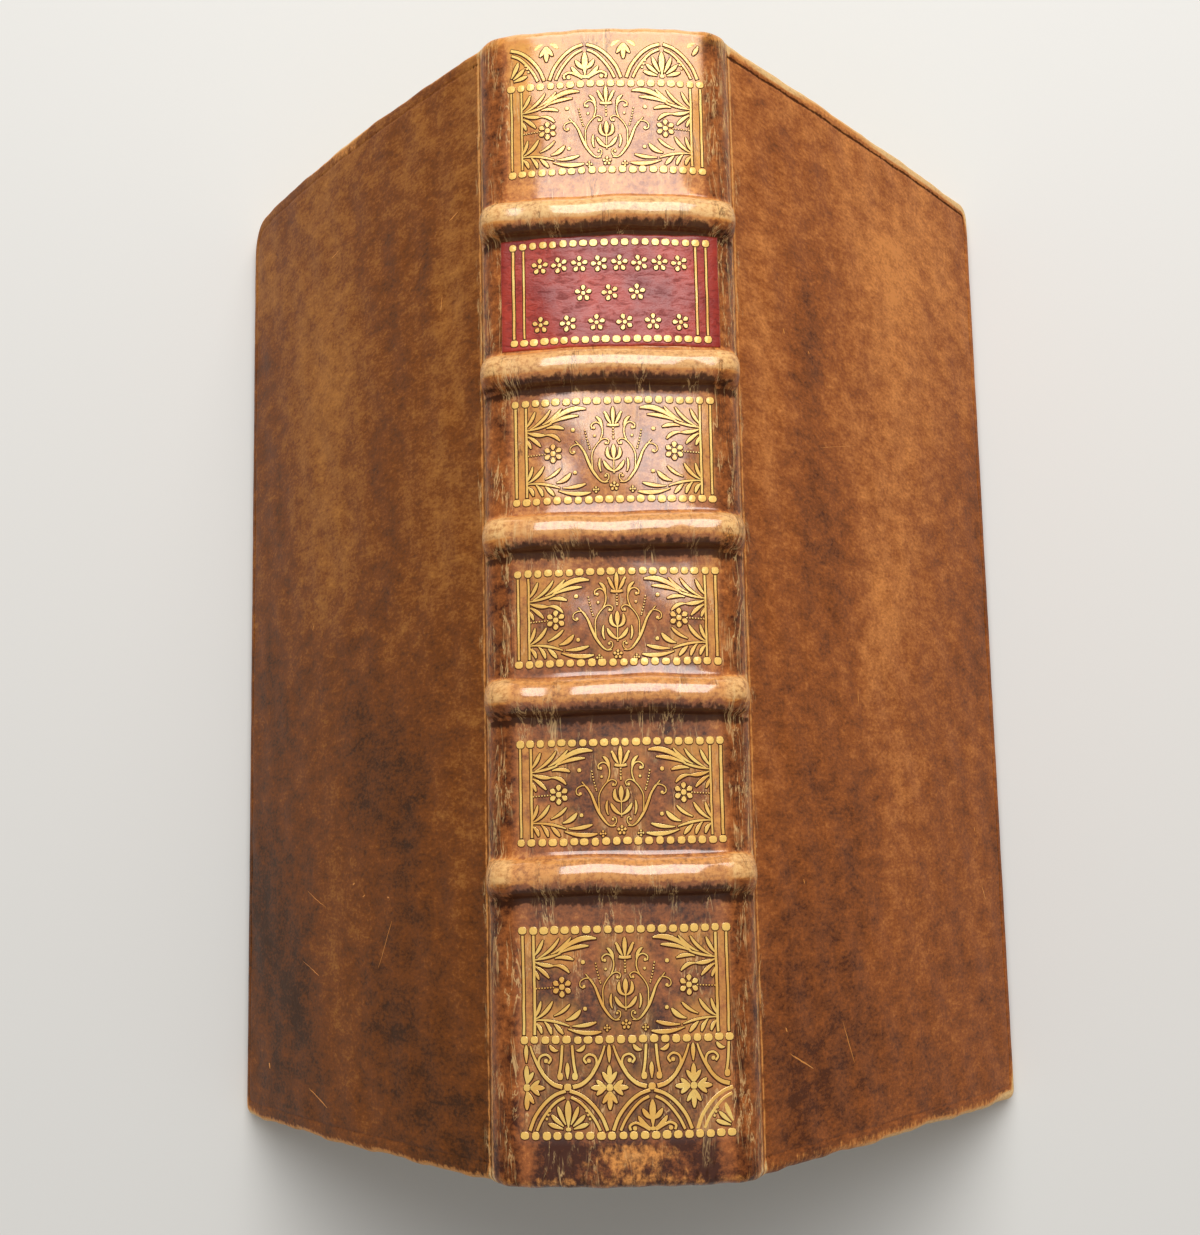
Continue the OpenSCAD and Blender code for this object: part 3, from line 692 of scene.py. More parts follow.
@shader_group(
    "Marbling",
    [
        ("Place", "vector", None), ("First", "colour", (0.2, 0.03, 0.02)),
        ("Second", "colour", (0.03, 0.05, 0.1)), ("Ground", "colour", (0.6, 0.4, 0.16)),
    ],
    [("Colour", "colour")],
)
def marbling(bench, socket):
    """Curled veins of floated colour."""
    curled = bench.warp(bench.warp(socket["Place"], 70, 0.024), 190, 0.008)
    wave = bench.add(
        "TexWave",
        {"Vector": curled, "Scale": 38, "Distortion": 7, "Detail": 3, "Detail Scale": 1.6},
        wave_type="RINGS",
    ).outputs["Fac"]
    veins = bench.noise(curled, 240, 3, 0.6, 1.5)
    made = bench.layers(
        socket["Second"],
        (bench.step(wave, 0.2, 0.26), socket["Ground"]),
        (bench.step(wave, 0.62, 0.7), socket["First"]),
    )
    vein = bench.step(bench.maths("ABSOLUTE", bench.maths("SUBTRACT", veins, 0.5)), 0.012, 0.03)
    return {"Colour": bench.layers(socket["Ground"], (vein, made))}


# Materials


def new_material(name):
    """Bench of a new material with an empty tree."""
    material = bpy.data.materials.new(name)
    material.use_nodes = True
    material.node_tree.nodes.clear()
    return NodeBench(material.node_tree, material)


def worn_mask(bench, place, label, **values):
    """Ragged mask of the amount painted under a label: rubbing with painted light, dirt with
    painted shade.
    """
    return rubbed_face(bench, {"Place": place, "Rub": bench.painted(label), **values})["Mask"]


def calf_material(name, tones, gloss, flecks=1900, clouds=40):
    """Polished calfskin, rubbed pale, dirtied dark and cracked where it is painted so, with painted
    shade and painted light laid in through the same masks. tones are its dark, middle and pale
    colours, and gloss its varnish, 0 to 1."""
    colours = bpy.context.scene.book_calf
    bench = new_material(name)
    place = bench.unrolled_place()
    dye = mottled_dye(bench, {
        "Place": place,
        "Grain": (1, 1, 1) if gloss else (0.55, 1, 1),
        "Paint": bench.painted(CLOUD),
        **dict(zip(("Dark", "Middle", "Pale"), tones)),
        "Clouds": clouds,
        "Flecks": flecks,
    })
    soil = worn_mask(bench, place, SOIL, Stretch=(1100, 560, 1), Softness=0.28)
    lines = flex_lines(bench, {"Place": place, "Amount": bench.painted(FLEX)})
    film = bench.slope(bench.noise(bench.scaled(place, 1, 0.7), 620, 4, 0.75), 0.34, 0.54)
    film = bench.times(film, bench.painted(HAZE))
    remains = bench.slope(dye["Flecks"], 0.36, 0.58, 0.34 if gloss else 0.66, 1.0)
    bare = bench.slope(bench.painted(RUB), 0.8, 1.1)
    made = bench.layers(
        dye["Colour"],
        (bench.times(film, 0.9), colours.haze),
        (
            bench.times(worn_mask(bench, place, RUB), remains),
            bench.layers(colours.rubbed, (bare, colours.cracked)),
        ),
        # Dirt, and the painted shade on each band's tail-side flank, in the dark colour
        (bench.times(soil, 0.88), colours.soiled),
        (bench.times(lines["Dark"], 0.6), colours.soiled),
        (bench.times(lines["Pale"], 0.65), colours.cracked),
    )
    polish = 0.14 * gloss
    rough = bench.slope(dye["Level"], 0.2, 0.9, 0.48 - polish, 0.56 - polish)
    height = bench.total(
        bench.times(dye["Flecks"], 0.8),
        (lines["Pale"], 0.5), (lines["Dark"], -1.2), (dye["Patches"], 2.5),
    )
    varnish = bench.times(bench.painted(POLISH), bench.slope(soil, 0.0, 1.0, gloss, 0.3))
    return bench.finish({
        "Base Color": made,
        "Roughness": bench.total(rough, (soil, 0.36)),
        "Normal": bench.bump(height, 0.07 * MM, 0.7),
        "Specular IOR Level": 0.08 + 0.1 * gloss,
        "Specular Tint": colours.sheen,
        "Coat Weight": varnish if gloss else 0.0,
        **VARNISH,
    })


def morocco_material():
    """Red goatskin with its pebbled grain and small creases across the spine, painted darker in
    their hollows as shade.
    """
    colours = bpy.context.scene.book_calf
    bench = new_material("Red morocco")
    place = bench.unrolled_place()
    creases = bench.noise(bench.scaled(place, 0.4, 1), 1300, 3, 0.6, 0.8)
    pebbles = bench.noise(bench.scaled(place, 0.8, 1), 3200, 2, 0.5)
    blotches = bench.noise(place, 130, 3, 0.6)
    made = bench.layers(
        colours.morocco,
        (bench.slope(blotches, 0.35, 0.65), colours.morocco_deep),
        # Painted shade in the hollows of the creases
        (bench.step(creases, 0.34, 0.48, 0.5, 0.0), colours.morocco_dark),
        (bench.times(worn_mask(bench, place, RUB), 0.5), colours.rubbed),
    )
    return bench.finish({
        "Base Color": made,
        "Roughness": bench.step(creases, 0.3, 0.7, 0.46, 0.32),
        "Normal": bench.bump(bench.total(creases, (pebbles, 0.3)), 0.2 * MM, 0.7),
        "Specular IOR Level": 0.3,
        "Coat Weight": bench.step(creases, 0.3, 0.6, 0.1, 0.7),
        "Coat Roughness": 0.2,
    })


def gold_material():
    """Gold leaf, bright on the pearls, dulled in clouds and worn to the leather in places."""
    colours = bpy.context.scene.book_calf
    bench = new_material("Gold leaf")
    place = bench.unrolled_place()
    kept = bench.painted(KEPT)
    worn = bench.step(bench.noise(place, 700, 4, 0.7), 0.56, 0.72)
    worn = bench.times(worn, bench.slope(kept, 0.0, 1.0, 1.0, 0.3))
    dulled = bench.slope(bench.noise(place, 180, 2, 0.6), 0.35, 0.65)
    specks = bench.noise(place, 2600, 2, 0.6)
    made = bench.layers(
        colours.gold,
        (dulled, colours.gold_old), (kept, colours.gold_kept),
        (bench.times(worn, 0.6), colours.haze),
    )
    return bench.finish({
        "Base Color": made,
        "Metallic": bench.total(0.25, (worn, -0.2)),
        "Roughness": bench.step(specks, 0.3, 0.7, 0.24, 0.4),
        "Normal": bench.bump(specks, 0.02 * MM, 0.5),
        "Coat Weight": bench.step(specks, 0.35, 0.6, 0.7, 0.3),
        **VARNISH,
    })


def leaf_material():
    """Rag leaves: the sheets show as fine lines of painted shade on the edges, and the flat faces
    are plain.
    """
    colours = bpy.context.scene.book_papers
    bench = new_material("Rag leaves")
    place = bench.add("Attribute", attribute_name="leaf_place").outputs["Vector"]
    sheets = bench.noise(bench.scaled(place, 0.003, 1, 0.003), 8000, 2, 0.7)
    groups = bench.noise(bench.scaled(place, 0.01, 1, 0.01), 1500, 3, 0.6)
    toned = bench.noise(place, 60, 4, 0.6)
    edge = bench.painted("edge")
    lines = bench.times(bench.step(sheets, 0.42, 0.6, 1.0, 0.0), edge)
    made = bench.layers(
        colours.leaf,
        (bench.step(toned, 0.4, 0.75, 0.0, 0.5), colours.leaf_edge),
        (bench.times(edge, 0.3), colours.leaf_edge),
        (bench.times(lines, 0.45), SHEET_SHADE),
    )
    height = bench.total(
        fibre_mat(bench, {"Place": place, "Size": 1400})["Height"],
        (bench.times(sheets, edge), 2.0), (bench.times(groups, edge), 2.0),
    )
    return bench.finish({
        "Base Color": made,
        "Roughness": bench.step(toned, 0.3, 0.8, 0.85, 0.7),
        "Normal": bench.bump(height, 0.08 * MM, 0.7),
        "Specular IOR Level": 0.3,
    })


def marbled_material(name):
    """Paper marbled in red and blue on buff."""
    colours = bpy.context.scene.book_papers
    bench = new_material(name)
    floated = marbling(bench, {
        "Place": bench.scaled(bench.object_place(), 1.3, 1, 1.3),
        "First": colours.marble_red,
        "Second": colours.marble_blue,
        "Ground": colours.marble_buff,
    })["Colour"]
    fibres = fibre_mat(bench, {"Place": bench.object_place(), "Size": 1400})
    return bench.finish({
        "Base Color": bench.layers(floated, (bench.times(fibres["Mask"], 0.15), colours.leaf)),
        "Roughness": bench.step(fibres["Height"], 0.3, 0.7, 0.5, 0.66),
        "Normal": bench.bump(fibres["Height"], 0.03 * MM, 0.5),
    })


def fibre_material(name, base, shade, size, roughness, depth):
    """Plain stuff of matted or twisted fibres: board, cord and parchment."""
    bench = new_material(name)
    place = bench.object_place()
    fibres = fibre_mat(bench, {"Place": place, "Size": size})
    clouds = bench.noise(place, 90, 4, 0.6)
    made = bench.layers(
        shade, (fibres["Mask"], base), (bench.step(clouds, 0.4, 0.8, 0.0, 0.4), shade)
    )
    return bench.finish({
        "Base Color": made,
        "Roughness": bench.step(clouds, 0.3, 0.7, roughness, min(1, roughness + 0.1)),
        "Normal": bench.bump(fibres["Height"], depth, 0.8),
    })


def silk_material():
    """Two silks wound side by side over a core."""
    colours = bpy.context.scene.book_papers
    bench = new_material("Wound silk")
    place = bench.object_place()
    turns, pairs = (
        bench.add(
            "TexWave", {"Vector": place, "Scale": scale, "Distortion": bent}, bands_direction="X"
        ).outputs["Fac"]
        for scale, bent in ((330, 0.4), (55, 0.3))
    )
    made = bench.layers(
        colours.silk_blue,
        (bench.step(pairs, 0.45, 0.55), colours.silk_white),
        (bench.step(turns, 0.0, 0.3, 0.5, 0.0), SILK_SHADE),
    )
    return bench.finish({
        "Base Color": made,
        "Roughness": bench.step(turns, 0, 1, 0.5, 0.34),
        "Normal": bench.bump(turns, 0.1 * MM, 0.8),
    })


# Gold tooling drawn in strokes


def bezier(start, control, end, steps=9):
    t = np.linspace(0, 1, steps)[:, None]
    a, b, c = (np.array(p, float) for p in (start, control, end))
    return (1 - t) ** 2 * a + 2 * t * (1 - t) * b + t**2 * c


def curve(points):
    """Smooth line through points, in six steps from each to the next."""
    p = np.array(points, float)
    p = np.vstack([2 * p[0] - p[1], p, 2 * p[-1] - p[-2]])
    t = np.linspace(0, 1, 6, endpoint=False)[:, None]
    parts = [
        0.5 * (2 * b + (c - a) * t + (2 * a - 5 * b + 4 * c - d) * t**2
               + (3 * b - a - 3 * c + d) * t**3)
        for a, b, c, d in zip(p[:-3], p[1:-2], p[2:-1], p[3:])
    ]
    return np.vstack([*parts, p[-2:-1]])


class Strokes:
    """Thin closed ridges drawn flat, in millimetres across and along, with heights above the
    face from 0 to 1, the full height, and less where they are tucked in. A spread makes each
    stroke that much wider, and low, for the dark rim round it, a painted shadow."""

    TUCKED = -1.0
    RIM_TOP, RIM_FLAT = 0.35, 0.9
    TOP, FLAT = 0.8, 0.62
    ROUNDNESS = 0.8

    def __init__(self, spread=0.0):
        self.spread = spread
        self.points = []
        self.faces = []

    def add(self, points, faces):
        start = len(self.points)
        self.points += [tuple(p) for p in points]
        self.faces += [tuple(start + i for i in f) for f in faces]

    def line(self, path, widths):
        """Ridge along a path. widths is one width, or one for each point."""
        path = np.array(path, float)
        n = len(path)
        half = (np.broadcast_to(np.asarray(widths, float), n) + self.spread) / 2
        run = np.gradient(path, axis=0)
        run /= np.maximum(np.hypot(*run.T), 1e-9)[:, None]
        side = np.stack([-run[:, 1], run[:, 0]], 1)
        path[0] -= run[0] * self.spread / 2
        path[-1] += run[-1] * self.spread / 2
        rim = self.spread > 0
        flat, top = (self.RIM_FLAT, self.RIM_TOP) if rim else (self.FLAT, self.TOP)
        rings = []
        for share, height in ((-1, self.TUCKED), (-flat, top), (flat, top), (1, self.TUCKED)):
            edge = path + side * (half * share)[:, None]
            rings.append(np.column_stack([edge, np.full(n, height)]))
        faces = []
        for i in range(n - 1):
            a, b = 4 * i, 4 * i + 4
            faces += [(a + k, a + (k + 1) % 4, b + (k + 1) % 4, b + k) for k in range(4)]
        end = 4 * (n - 1)
        faces += [(3, 2, 1, 0), (end, end + 1, end + 2, end + 3)]
        self.add(np.stack(rings, 1).reshape(-1, 3), faces)

    def curl(self, points, widths):
        """Ridge along a smooth line through points."""
        self.line(curve(points), widths)

    def leaf(self, start, control, end, wide, steps=9):
        """Leaf that swells from a thin stalk to a round tip."""
        t = np.linspace(0, 1, steps)
        swelling = np.sin(math.pi * np.clip(t, 0.02, 0.985) ** 1.35) ** 0.7
        self.line(bezier(start, control, end, steps), 0.16 + 1.3 * wide * swelling)

    def dot(self, x, y, wide, tall=None, sides=10, lean=0.0, rise=0.9):
        """Round dot, made slightly square by a roundness under 1."""
        wide, tall = wide + self.spread, (tall or wide) + self.spread
        rise = self.RIM_TOP if self.spread else rise
        angles = np.arange(sides) * 2 * math.pi / sides + lean
        ring = np.column_stack([
            np.sign(part) * np.abs(part) ** self.ROUNDNESS * size / 2
            for part, size in ((np.cos(angles), wide), (np.sin(angles), tall))
        ])
        low, middle = (
            np.column_stack([(x, y) + ring * share, np.full(sides, height)])
            for share, height in ((1, self.TUCKED), (0.84, 0.63 * rise))
        )
        faces = [tuple(range(sides - 1, -1, -1))]
        for i in range(sides):
            j = (i + 1) % sides
            faces += [(i, j, sides + j, sides + i), (sides + i, sides + j, 2 * sides)]
        self.add(np.vstack([low, middle, (x, y, rise)]), faces)

    def dots(self, path, step, wide):
        """Row of small dots along a path."""
        path = np.array(path, float)
        run = np.concatenate([[0], np.cumsum(np.hypot(*np.diff(path, axis=0).T))])
        for d in np.arange(0, run[-1] + step / 2, step):
            x, y = np.interp(d, run, path[:, 0]), np.interp(d, run, path[:, 1])
            self.dot(x, y, wide, sides=6)

    def both(self, draw):
        """Draws with a function twice, the second time mirrored about the middle."""
        draw(self)
        other = Strokes(self.spread)
        draw(other)
        self.add([(-x, y, h) for x, y, h in other.points], [f[::-1] for f in other.faces])

    def moved(self, other, dx):
        self.add([(x + dx, y, h) for x, y, h in other.points], other.faces)

    def whole(self, inside):
        """The strokes whose points all pass a test, so that each one left is closed."""
        owner = list(range(len(self.points)))

        def root(i):
            while owner[i] != i:
                owner[i] = owner[owner[i]]
                i = owner[i]
            return i

        for face in self.faces:
            for i in face[1:]:
                owner[root(i)] = root(face[0])
        cut = {root(i) for i in np.flatnonzero(~inside(np.array(self.points)))}
        fine = [f for f in self.faces if root(f[0]) not in cut]
        used = sorted({i for f in fine for i in f})
        renumbered = {old: new for new, old in enumerate(used)}
        result = Strokes(self.spread)
        result.add(
            [self.points[i] for i in used], [tuple(renumbered[i] for i in f) for f in fine]
        )
        return result


# Height of a pearl's middle, and length of the roll's pattern in millimetres
PEARL_RISE = 1.7
ROLL_PERIOD = 11.8

# Leaves of a corner spray: start, control, end, width, measured from the corner of the
# inner fillet and the pearl line, inward and away from the corner
HEAD_SPRAY = [
    ((-3.5, -3.3), (-6.2, -0.6), (-9.0, -1.2), 0.62),
    ((-3.9, -3.1), (-5.8, -2.2), (-7.9, -2.2), 0.42),
    ((-3.1, -3.9), (-4.4, -3.5), (-5.7, -4.1), 0.42),
    ((-0.6, -3.9), (-2.8, -2.8), (-3.7, -1.1), 0.36),
    ((-0.1, -3.5), (-0.8, -2.8), (-1.4, -1.3), 0.4),
    ((-2.5, -3.3), (-4.1, -2.7), (-5.4, -1.0), 0.34),
    ((-0.2, -4.4), (-1.4, -4.9), (-2.9, -4.9), 0.45),
    ((-0.2, -5.0), (-1.2, -5.4), (-2.2, -6.6), 0.42),
    ((0.0, -5.4), (-0.4, -6.0), (-0.7, -6.8), 0.34),
    ((-2.9, -4.9), (-4.2, -4.7), (-5.1, -5.9), 0.4),
    ((0.0, -4.1), (-1.9, -3.9), (-3.9, -3.2), 0.24),
]
TAIL_SPRAY = [
    ((-2.8, 3.3), (-4.2, 3.8), (-5.1, 4.9), 0.34),
    ((-4.5, 2.7), (-5.8, 2.9), (-6.6, 4.1), 0.56),
    ((-5.4, 1.9), (-7.1, 1.8), (-8.8, 2.4), 0.42),
    ((-4.8, 1.5), (-7.2, 0.6), (-9.5, 1.1), 0.5),
    ((-0.2, 2.9), (-1.8, 3.7), (-2.6, 5.3), 0.42),
    ((0.0, 3.1), (-0.6, 3.9), (-0.9, 5.3), 0.38),
    ((-2.8, 2.2), (-3.4, 1.7), (-4.1, 0.8), 0.46),
    ((-1.4, 2.5), (-2.2, 1.8), (-2.4, 0.8), 0.42),
    ((-0.1, 2.3), (-0.8, 1.9), (-1.0, 0.9), 0.42),
    ((0.0, 2.7), (-2.4, 2.9), (-5.0, 1.9), 0.24),
]


def small_flower(strokes, x, y, size, petals=5, turn=0.0):
    strokes.dot(x, y, size * 0.3, sides=6)
    for k in range(petals):
        a = turn + 2 * math.pi * k / petals + math.pi / 2
        near = (x + 0.2 * size * math.cos(a), y + 0.2 * size * math.sin(a))
        far = (x + 0.52 * size * math.cos(a), y + 0.52 * size * math.sin(a))
        strokes.leaf(near, ((near[0] + far[0]) / 2, (near[1] + far[1]) / 2), far, size * 0.24, 6)


def half_lyre(strokes):
    """One side of the centre tool: scrolls, stalks and dotted lines."""
    stalk = curve([(0.9, -4.85), (1.6, -4.85), (2.3, -4.3), (3.2, -3.0), (3.8, -1.6),
                   (4.3, -0.3), (5.0, 0.7), (5.6, 1.45)])
    t = np.linspace(0, 1, len(stalk))
    strokes.line(stalk, 0.2 + 0.3 * np.sin(math.pi * t) ** 2)
    strokes.curl(
        [(4.5, 0.2), (5.0, 0.8), (5.7, 0.85), (6.35, 0.45), (6.4, -0.2), (5.95, -0.5)], 0.2
    )
    strokes.dot(5.85, -0.25, 0.5, sides=8)
    strokes.curl([(3.1, -3.1), (3.2, -1.8), (3.15, -0.5), (2.6, 0.6), (1.8, 1.45), (1.15, 1.65),
                  (0.65, 1.3), (0.85, 0.8)], 0.22)
    strokes.dot(1.1, 0.95, 0.46, sides=8)
    strokes.curl([(2.0, 1.3), (1.65, 2.2), (1.6, 3.1), (1.95, 3.9), (2.6, 4.15), (3.2, 3.75),
                  (3.15, 3.2)], 0.26)
    strokes.dot(2.85, 3.3, 0.5, sides=8)
    strokes.leaf((1.65, 3.2), (1.6, 4.4), (2.5, 5.0), 0.34)
    strokes.curl([(2.3, -4.3), (1.5, -4.85), (0.85, -4.45), (0.8, -3.8), (1.2, -3.6)], 0.2)
    strokes.dot(1.25, -3.95, 0.42, sides=8)
    strokes.dots(bezier((4.15, 2.9), (3.9, 1.4), (3.5, 0.2)), 0.42, 0.26)
    strokes.dot(2.75, 2.1, 0.44, sides=8)
    strokes.leaf((0.3, 3.9), (0.8, 4.6), (1.15, 5.7), 0.36)
    strokes.dot(1.2, 5.6, 0.42, sides=8)
    strokes.leaf((0.0, -3.3), (1.0, -2.9), (1.5, -1.7), 0.42)
    strokes.leaf((0.05, -1.5), (1.25, -1.2), (0.85, 0.35), 0.42)
    strokes.leaf((1.9, -3.3), (2.3, -2.4), (2.0, -1.3), 0.22)
    small_flower(strokes, 2.7, -5.95, 0.9, 4)
    strokes.dot(5.75, -3.3, 0.62, sides=9)
    strokes.dot(5.95, 3.1, 0.66, sides=9)


def centre_tool(strokes):
    """Scrolled cartouche under a palmette, round a blossom."""
    strokes.both(half_lyre)
    strokes.line([(-0.85, 3.75), (-0.3, 3.65), (0.3, 3.65), (0.85, 3.75)], 0.5)
    strokes.leaf((0, 3.7), (0, 5.2), (0, 6.45), 0.5)
    strokes.dots([(0, 3.2), (0, 1.7)], 0.42, 0.3)
    strokes.line([(0, -3.6), (0, -2.4), (0, -1.3)], 0.2)
    strokes.leaf((0, -1.4), (0, -0.4), (0, 0.75), 0.6)
    small_flower(strokes, 0, -5.5, 1.3, 5)


def side_rosette(strokes, inner):
    small_flower(strokes, inner - 4.0, -0.3, 2.7, 6)
    strokes.dot(inner - 4.0, -0.3, 0.9)
    strokes.dots([(inner - 2.8, -0.35), (inner - 0.3, -0.5)], 0.42, 0.26)


def pearl_line(strokes, y, half, sizes, rng):
    """Row of pearls with the small differences of hand work."""
    for x in np.linspace(-half, half, sizes.pearls):
        wide = sizes.pearl / MM * rng.uniform(0.86, 1.04)
        tall = sizes.pearl / MM * rng.uniform(0.8, 0.92)
        shift_x, shift_y = rng.uniform(-0.06, 0.06), rng.uniform(-0.05, 0.05)
        strokes.dot(x + shift_x, y + shift_y, wide, tall, 10, rng.uniform(0, 0.3), PEARL_RISE)


def framed(tall, sizes, rng, spread):
    """Pearl lines and side fillets of a compartment, a half height above and below 0."""
    strokes = Strokes(spread)
    half = sizes.panel_half / MM
    for y in (-tall, tall):
        pearl_line(strokes, y, half, sizes, rng)
    clear = tall - sizes.pearl / MM / 2
    for side in (-1, 1):
        for inset in (0, sizes.fillet_step / MM):
            xs = side * (half - inset) + rng.uniform(-0.03, 0.03, 12)
            path = np.column_stack([xs, np.linspace(-clear, clear, 12)])
            strokes.line(path, sizes.fillet / MM * rng.uniform(0.8, 1.15))
    return strokes


def draw_panel(y0, y1, sizes, rng, spread):
    """One tooled compartment between two pearl lines, around its own middle."""
    tall = (y1 - y0) / MM / 2
    strokes = framed(tall, sizes, rng, spread)
    inner = (sizes.panel_half - sizes.fillet_step) / MM

    def corner_sprays(target):
        for spray, foot in ((HEAD_SPRAY, tall), (TAIL_SPRAY, -tall)):
            for *points, wide in spray:
                target.leaf(*[(inner + x, foot + y) for x, y in points], wide)
        side_rosette(target, inner)

    strokes.both(corner_sprays)
    centre_tool(strokes)
    return strokes


def half_arch(strokes):
    """One side of the roll's lower arch, drawn with two lines."""
    strokes.curl([(0.3, -0.4), (1.8, -0.95), (3.3, -2.1), (4.7, -3.9), (5.5, -5.8)], 0.62)
    strokes.curl([(0.45, -1.25), (1.6, -1.85), (2.7, -2.9), (3.8, -4.4), (4.5, -5.8)], 0.5)


def half_acanthus(strokes):
    """One side of the leaf with volutes that fills every second arch."""
    strokes.leaf((0.1, -4.3), (0.8, -4.0), (1.4, -2.9), 0.56)
    strokes.leaf((0.3, -5.5), (1.5, -5.0), (2.0, -3.9), 0.52)
    strokes.curl([(0.4, -5.8), (1.4, -5.2), (2.4, -4.8), (3.2, -5.2), (3.1, -5.8)], 0.46)
    strokes.dot(2.5, -5.55, 0.7, sides=8)


def half_shell(strokes):
    """One side of the rayed shell that fills the other arches."""
    for angle, near, far in ((66, 0.9, 3.6), (42, 0.9, 3.2), (19, 0.8, 3.0)):
        a = math.radians(angle)
        start = (near * math.cos(a), -5.8 + near * math.sin(a))
        end = (far * math.cos(a), -5.8 + far * math.sin(a))
        middle = ((start[0] + end[0]) / 2 + 0.15, (start[1] + end[1]) / 2)
        strokes.leaf(start, middle, end, 0.5)
    strokes.dots([(2.6, -3.1), (3.1, -4.3)], 0.6, 0.42)


def half_scroll(strokes):
    """One side of the roll's upper scrolls and hanging bell."""
    strokes.curl(
        [(0.75, 0.1), (2.0, 0.5), (3.2, 1.5), (4.2, 3.0), (4.9, 4.5), (5.3, 5.7)],
        np.concatenate([np.linspace(0.8, 0.66, 12), np.linspace(0.66, 0.34, 19)]),
    )
    strokes.curl([(3.5, 2.1), (4.1, 3.2), (3.9, 4.2), (3.0, 4.5), (2.35, 3.9), (2.7, 3.3)], 0.42)
    strokes.dot(3.05, 3.65, 0.66, sides=8)
    strokes.curl([(0.7, 5.8), (0.8, 4.4), (0.95, 3.0), (1.2, 1.7)], 0.5)
    strokes.dot(1.05, 1.55, 0.95, 1.15)
    strokes.leaf((1.3, 5.1), (2.0, 4.9), (2.5, 5.8), 0.46)


def oak_cross(strokes, x, y):
    """Flower of four lobed leaves."""
    strokes.dot(x, y, 1.1, sides=10)
    for turn, long in enumerate((2.6, 3.0, 2.6, 3.0)):
        a = turn * math.pi / 2
        run, side = (math.cos(a), math.sin(a)), (-math.sin(a), math.cos(a))

        def at(d, o):
            return (x + run[0] * d + side[0] * o, y + run[1] * d + side[1] * o)

        strokes.leaf(at(0.5, 0), at(long * 0.6, 0), at(long, 0), 0.62)
        for o in (-1, 1):
            strokes.leaf(at(0.55, 0.15 * o), at(1.2, 0.3 * o), at(long * 0.7, 1.0 * o), 0.52, 7)


def draw_roll(x0, half, upper, spread):
    """Part of the roll's endless pattern, crossing points at the middle height."""
    strokes = Strokes(spread)
    crossing = ROLL_PERIOD / 2
    for k in range(-2, 3):
        unit = Strokes(spread)
        unit.both(half_arch)
        unit.both(half_shell if k % 2 else half_acanthus)
        unit.leaf((0, -5.4), (0, -3.4), (0, -1.7), 0.8)
        unit.dot(0, -5.6, 0.9, 0.6)
        if upper:
            unit.both(half_scroll)
            unit.leaf((0, 1.2), (0, 2.3), (0, 3.4), 0.5)
            unit.dot(0, 0.1, 1.2, 1.1)
            oak_cross(unit, crossing, 0)
            unit.leaf((crossing, 3.4), (crossing, 4.6), (crossing, 5.8), 0.5)
        else:
            oak_cross(unit, crossing, 0.2)
        strokes.moved(unit, x0 + k * ROLL_PERIOD)
    return strokes.whole(lambda points: np.abs(points[:, 0]) < half)


# How far the feet of the strokes are tucked into the leather, and the height of a stroke
# above which its gold is best kept
TUCK = 0.03 * MM
BEST_KEPT = 0.95


def lay_strokes(name, strokes, shape, middle, lift, sizes):
    """Lays flat strokes on the spine around a place along it."""
    flat = np.array(strokes.points)
    across = flat[:, 0] * MM + sizes.drift
    along = flat[:, 1] * MM + middle
    height = np.where(flat[:, 2] < 0, -TUCK, flat[:, 2] * sizes.raised)
    off = lift + height + shape.swell(across, along)
    points = shape.place(across, along, off)
    kept = (flat[:, 2] > BEST_KEPT).astype(float)
    return add_piece(
        name, points, strokes.faces, np.column_stack([across, along]), {KEPT: kept}, False
    )


# Operators


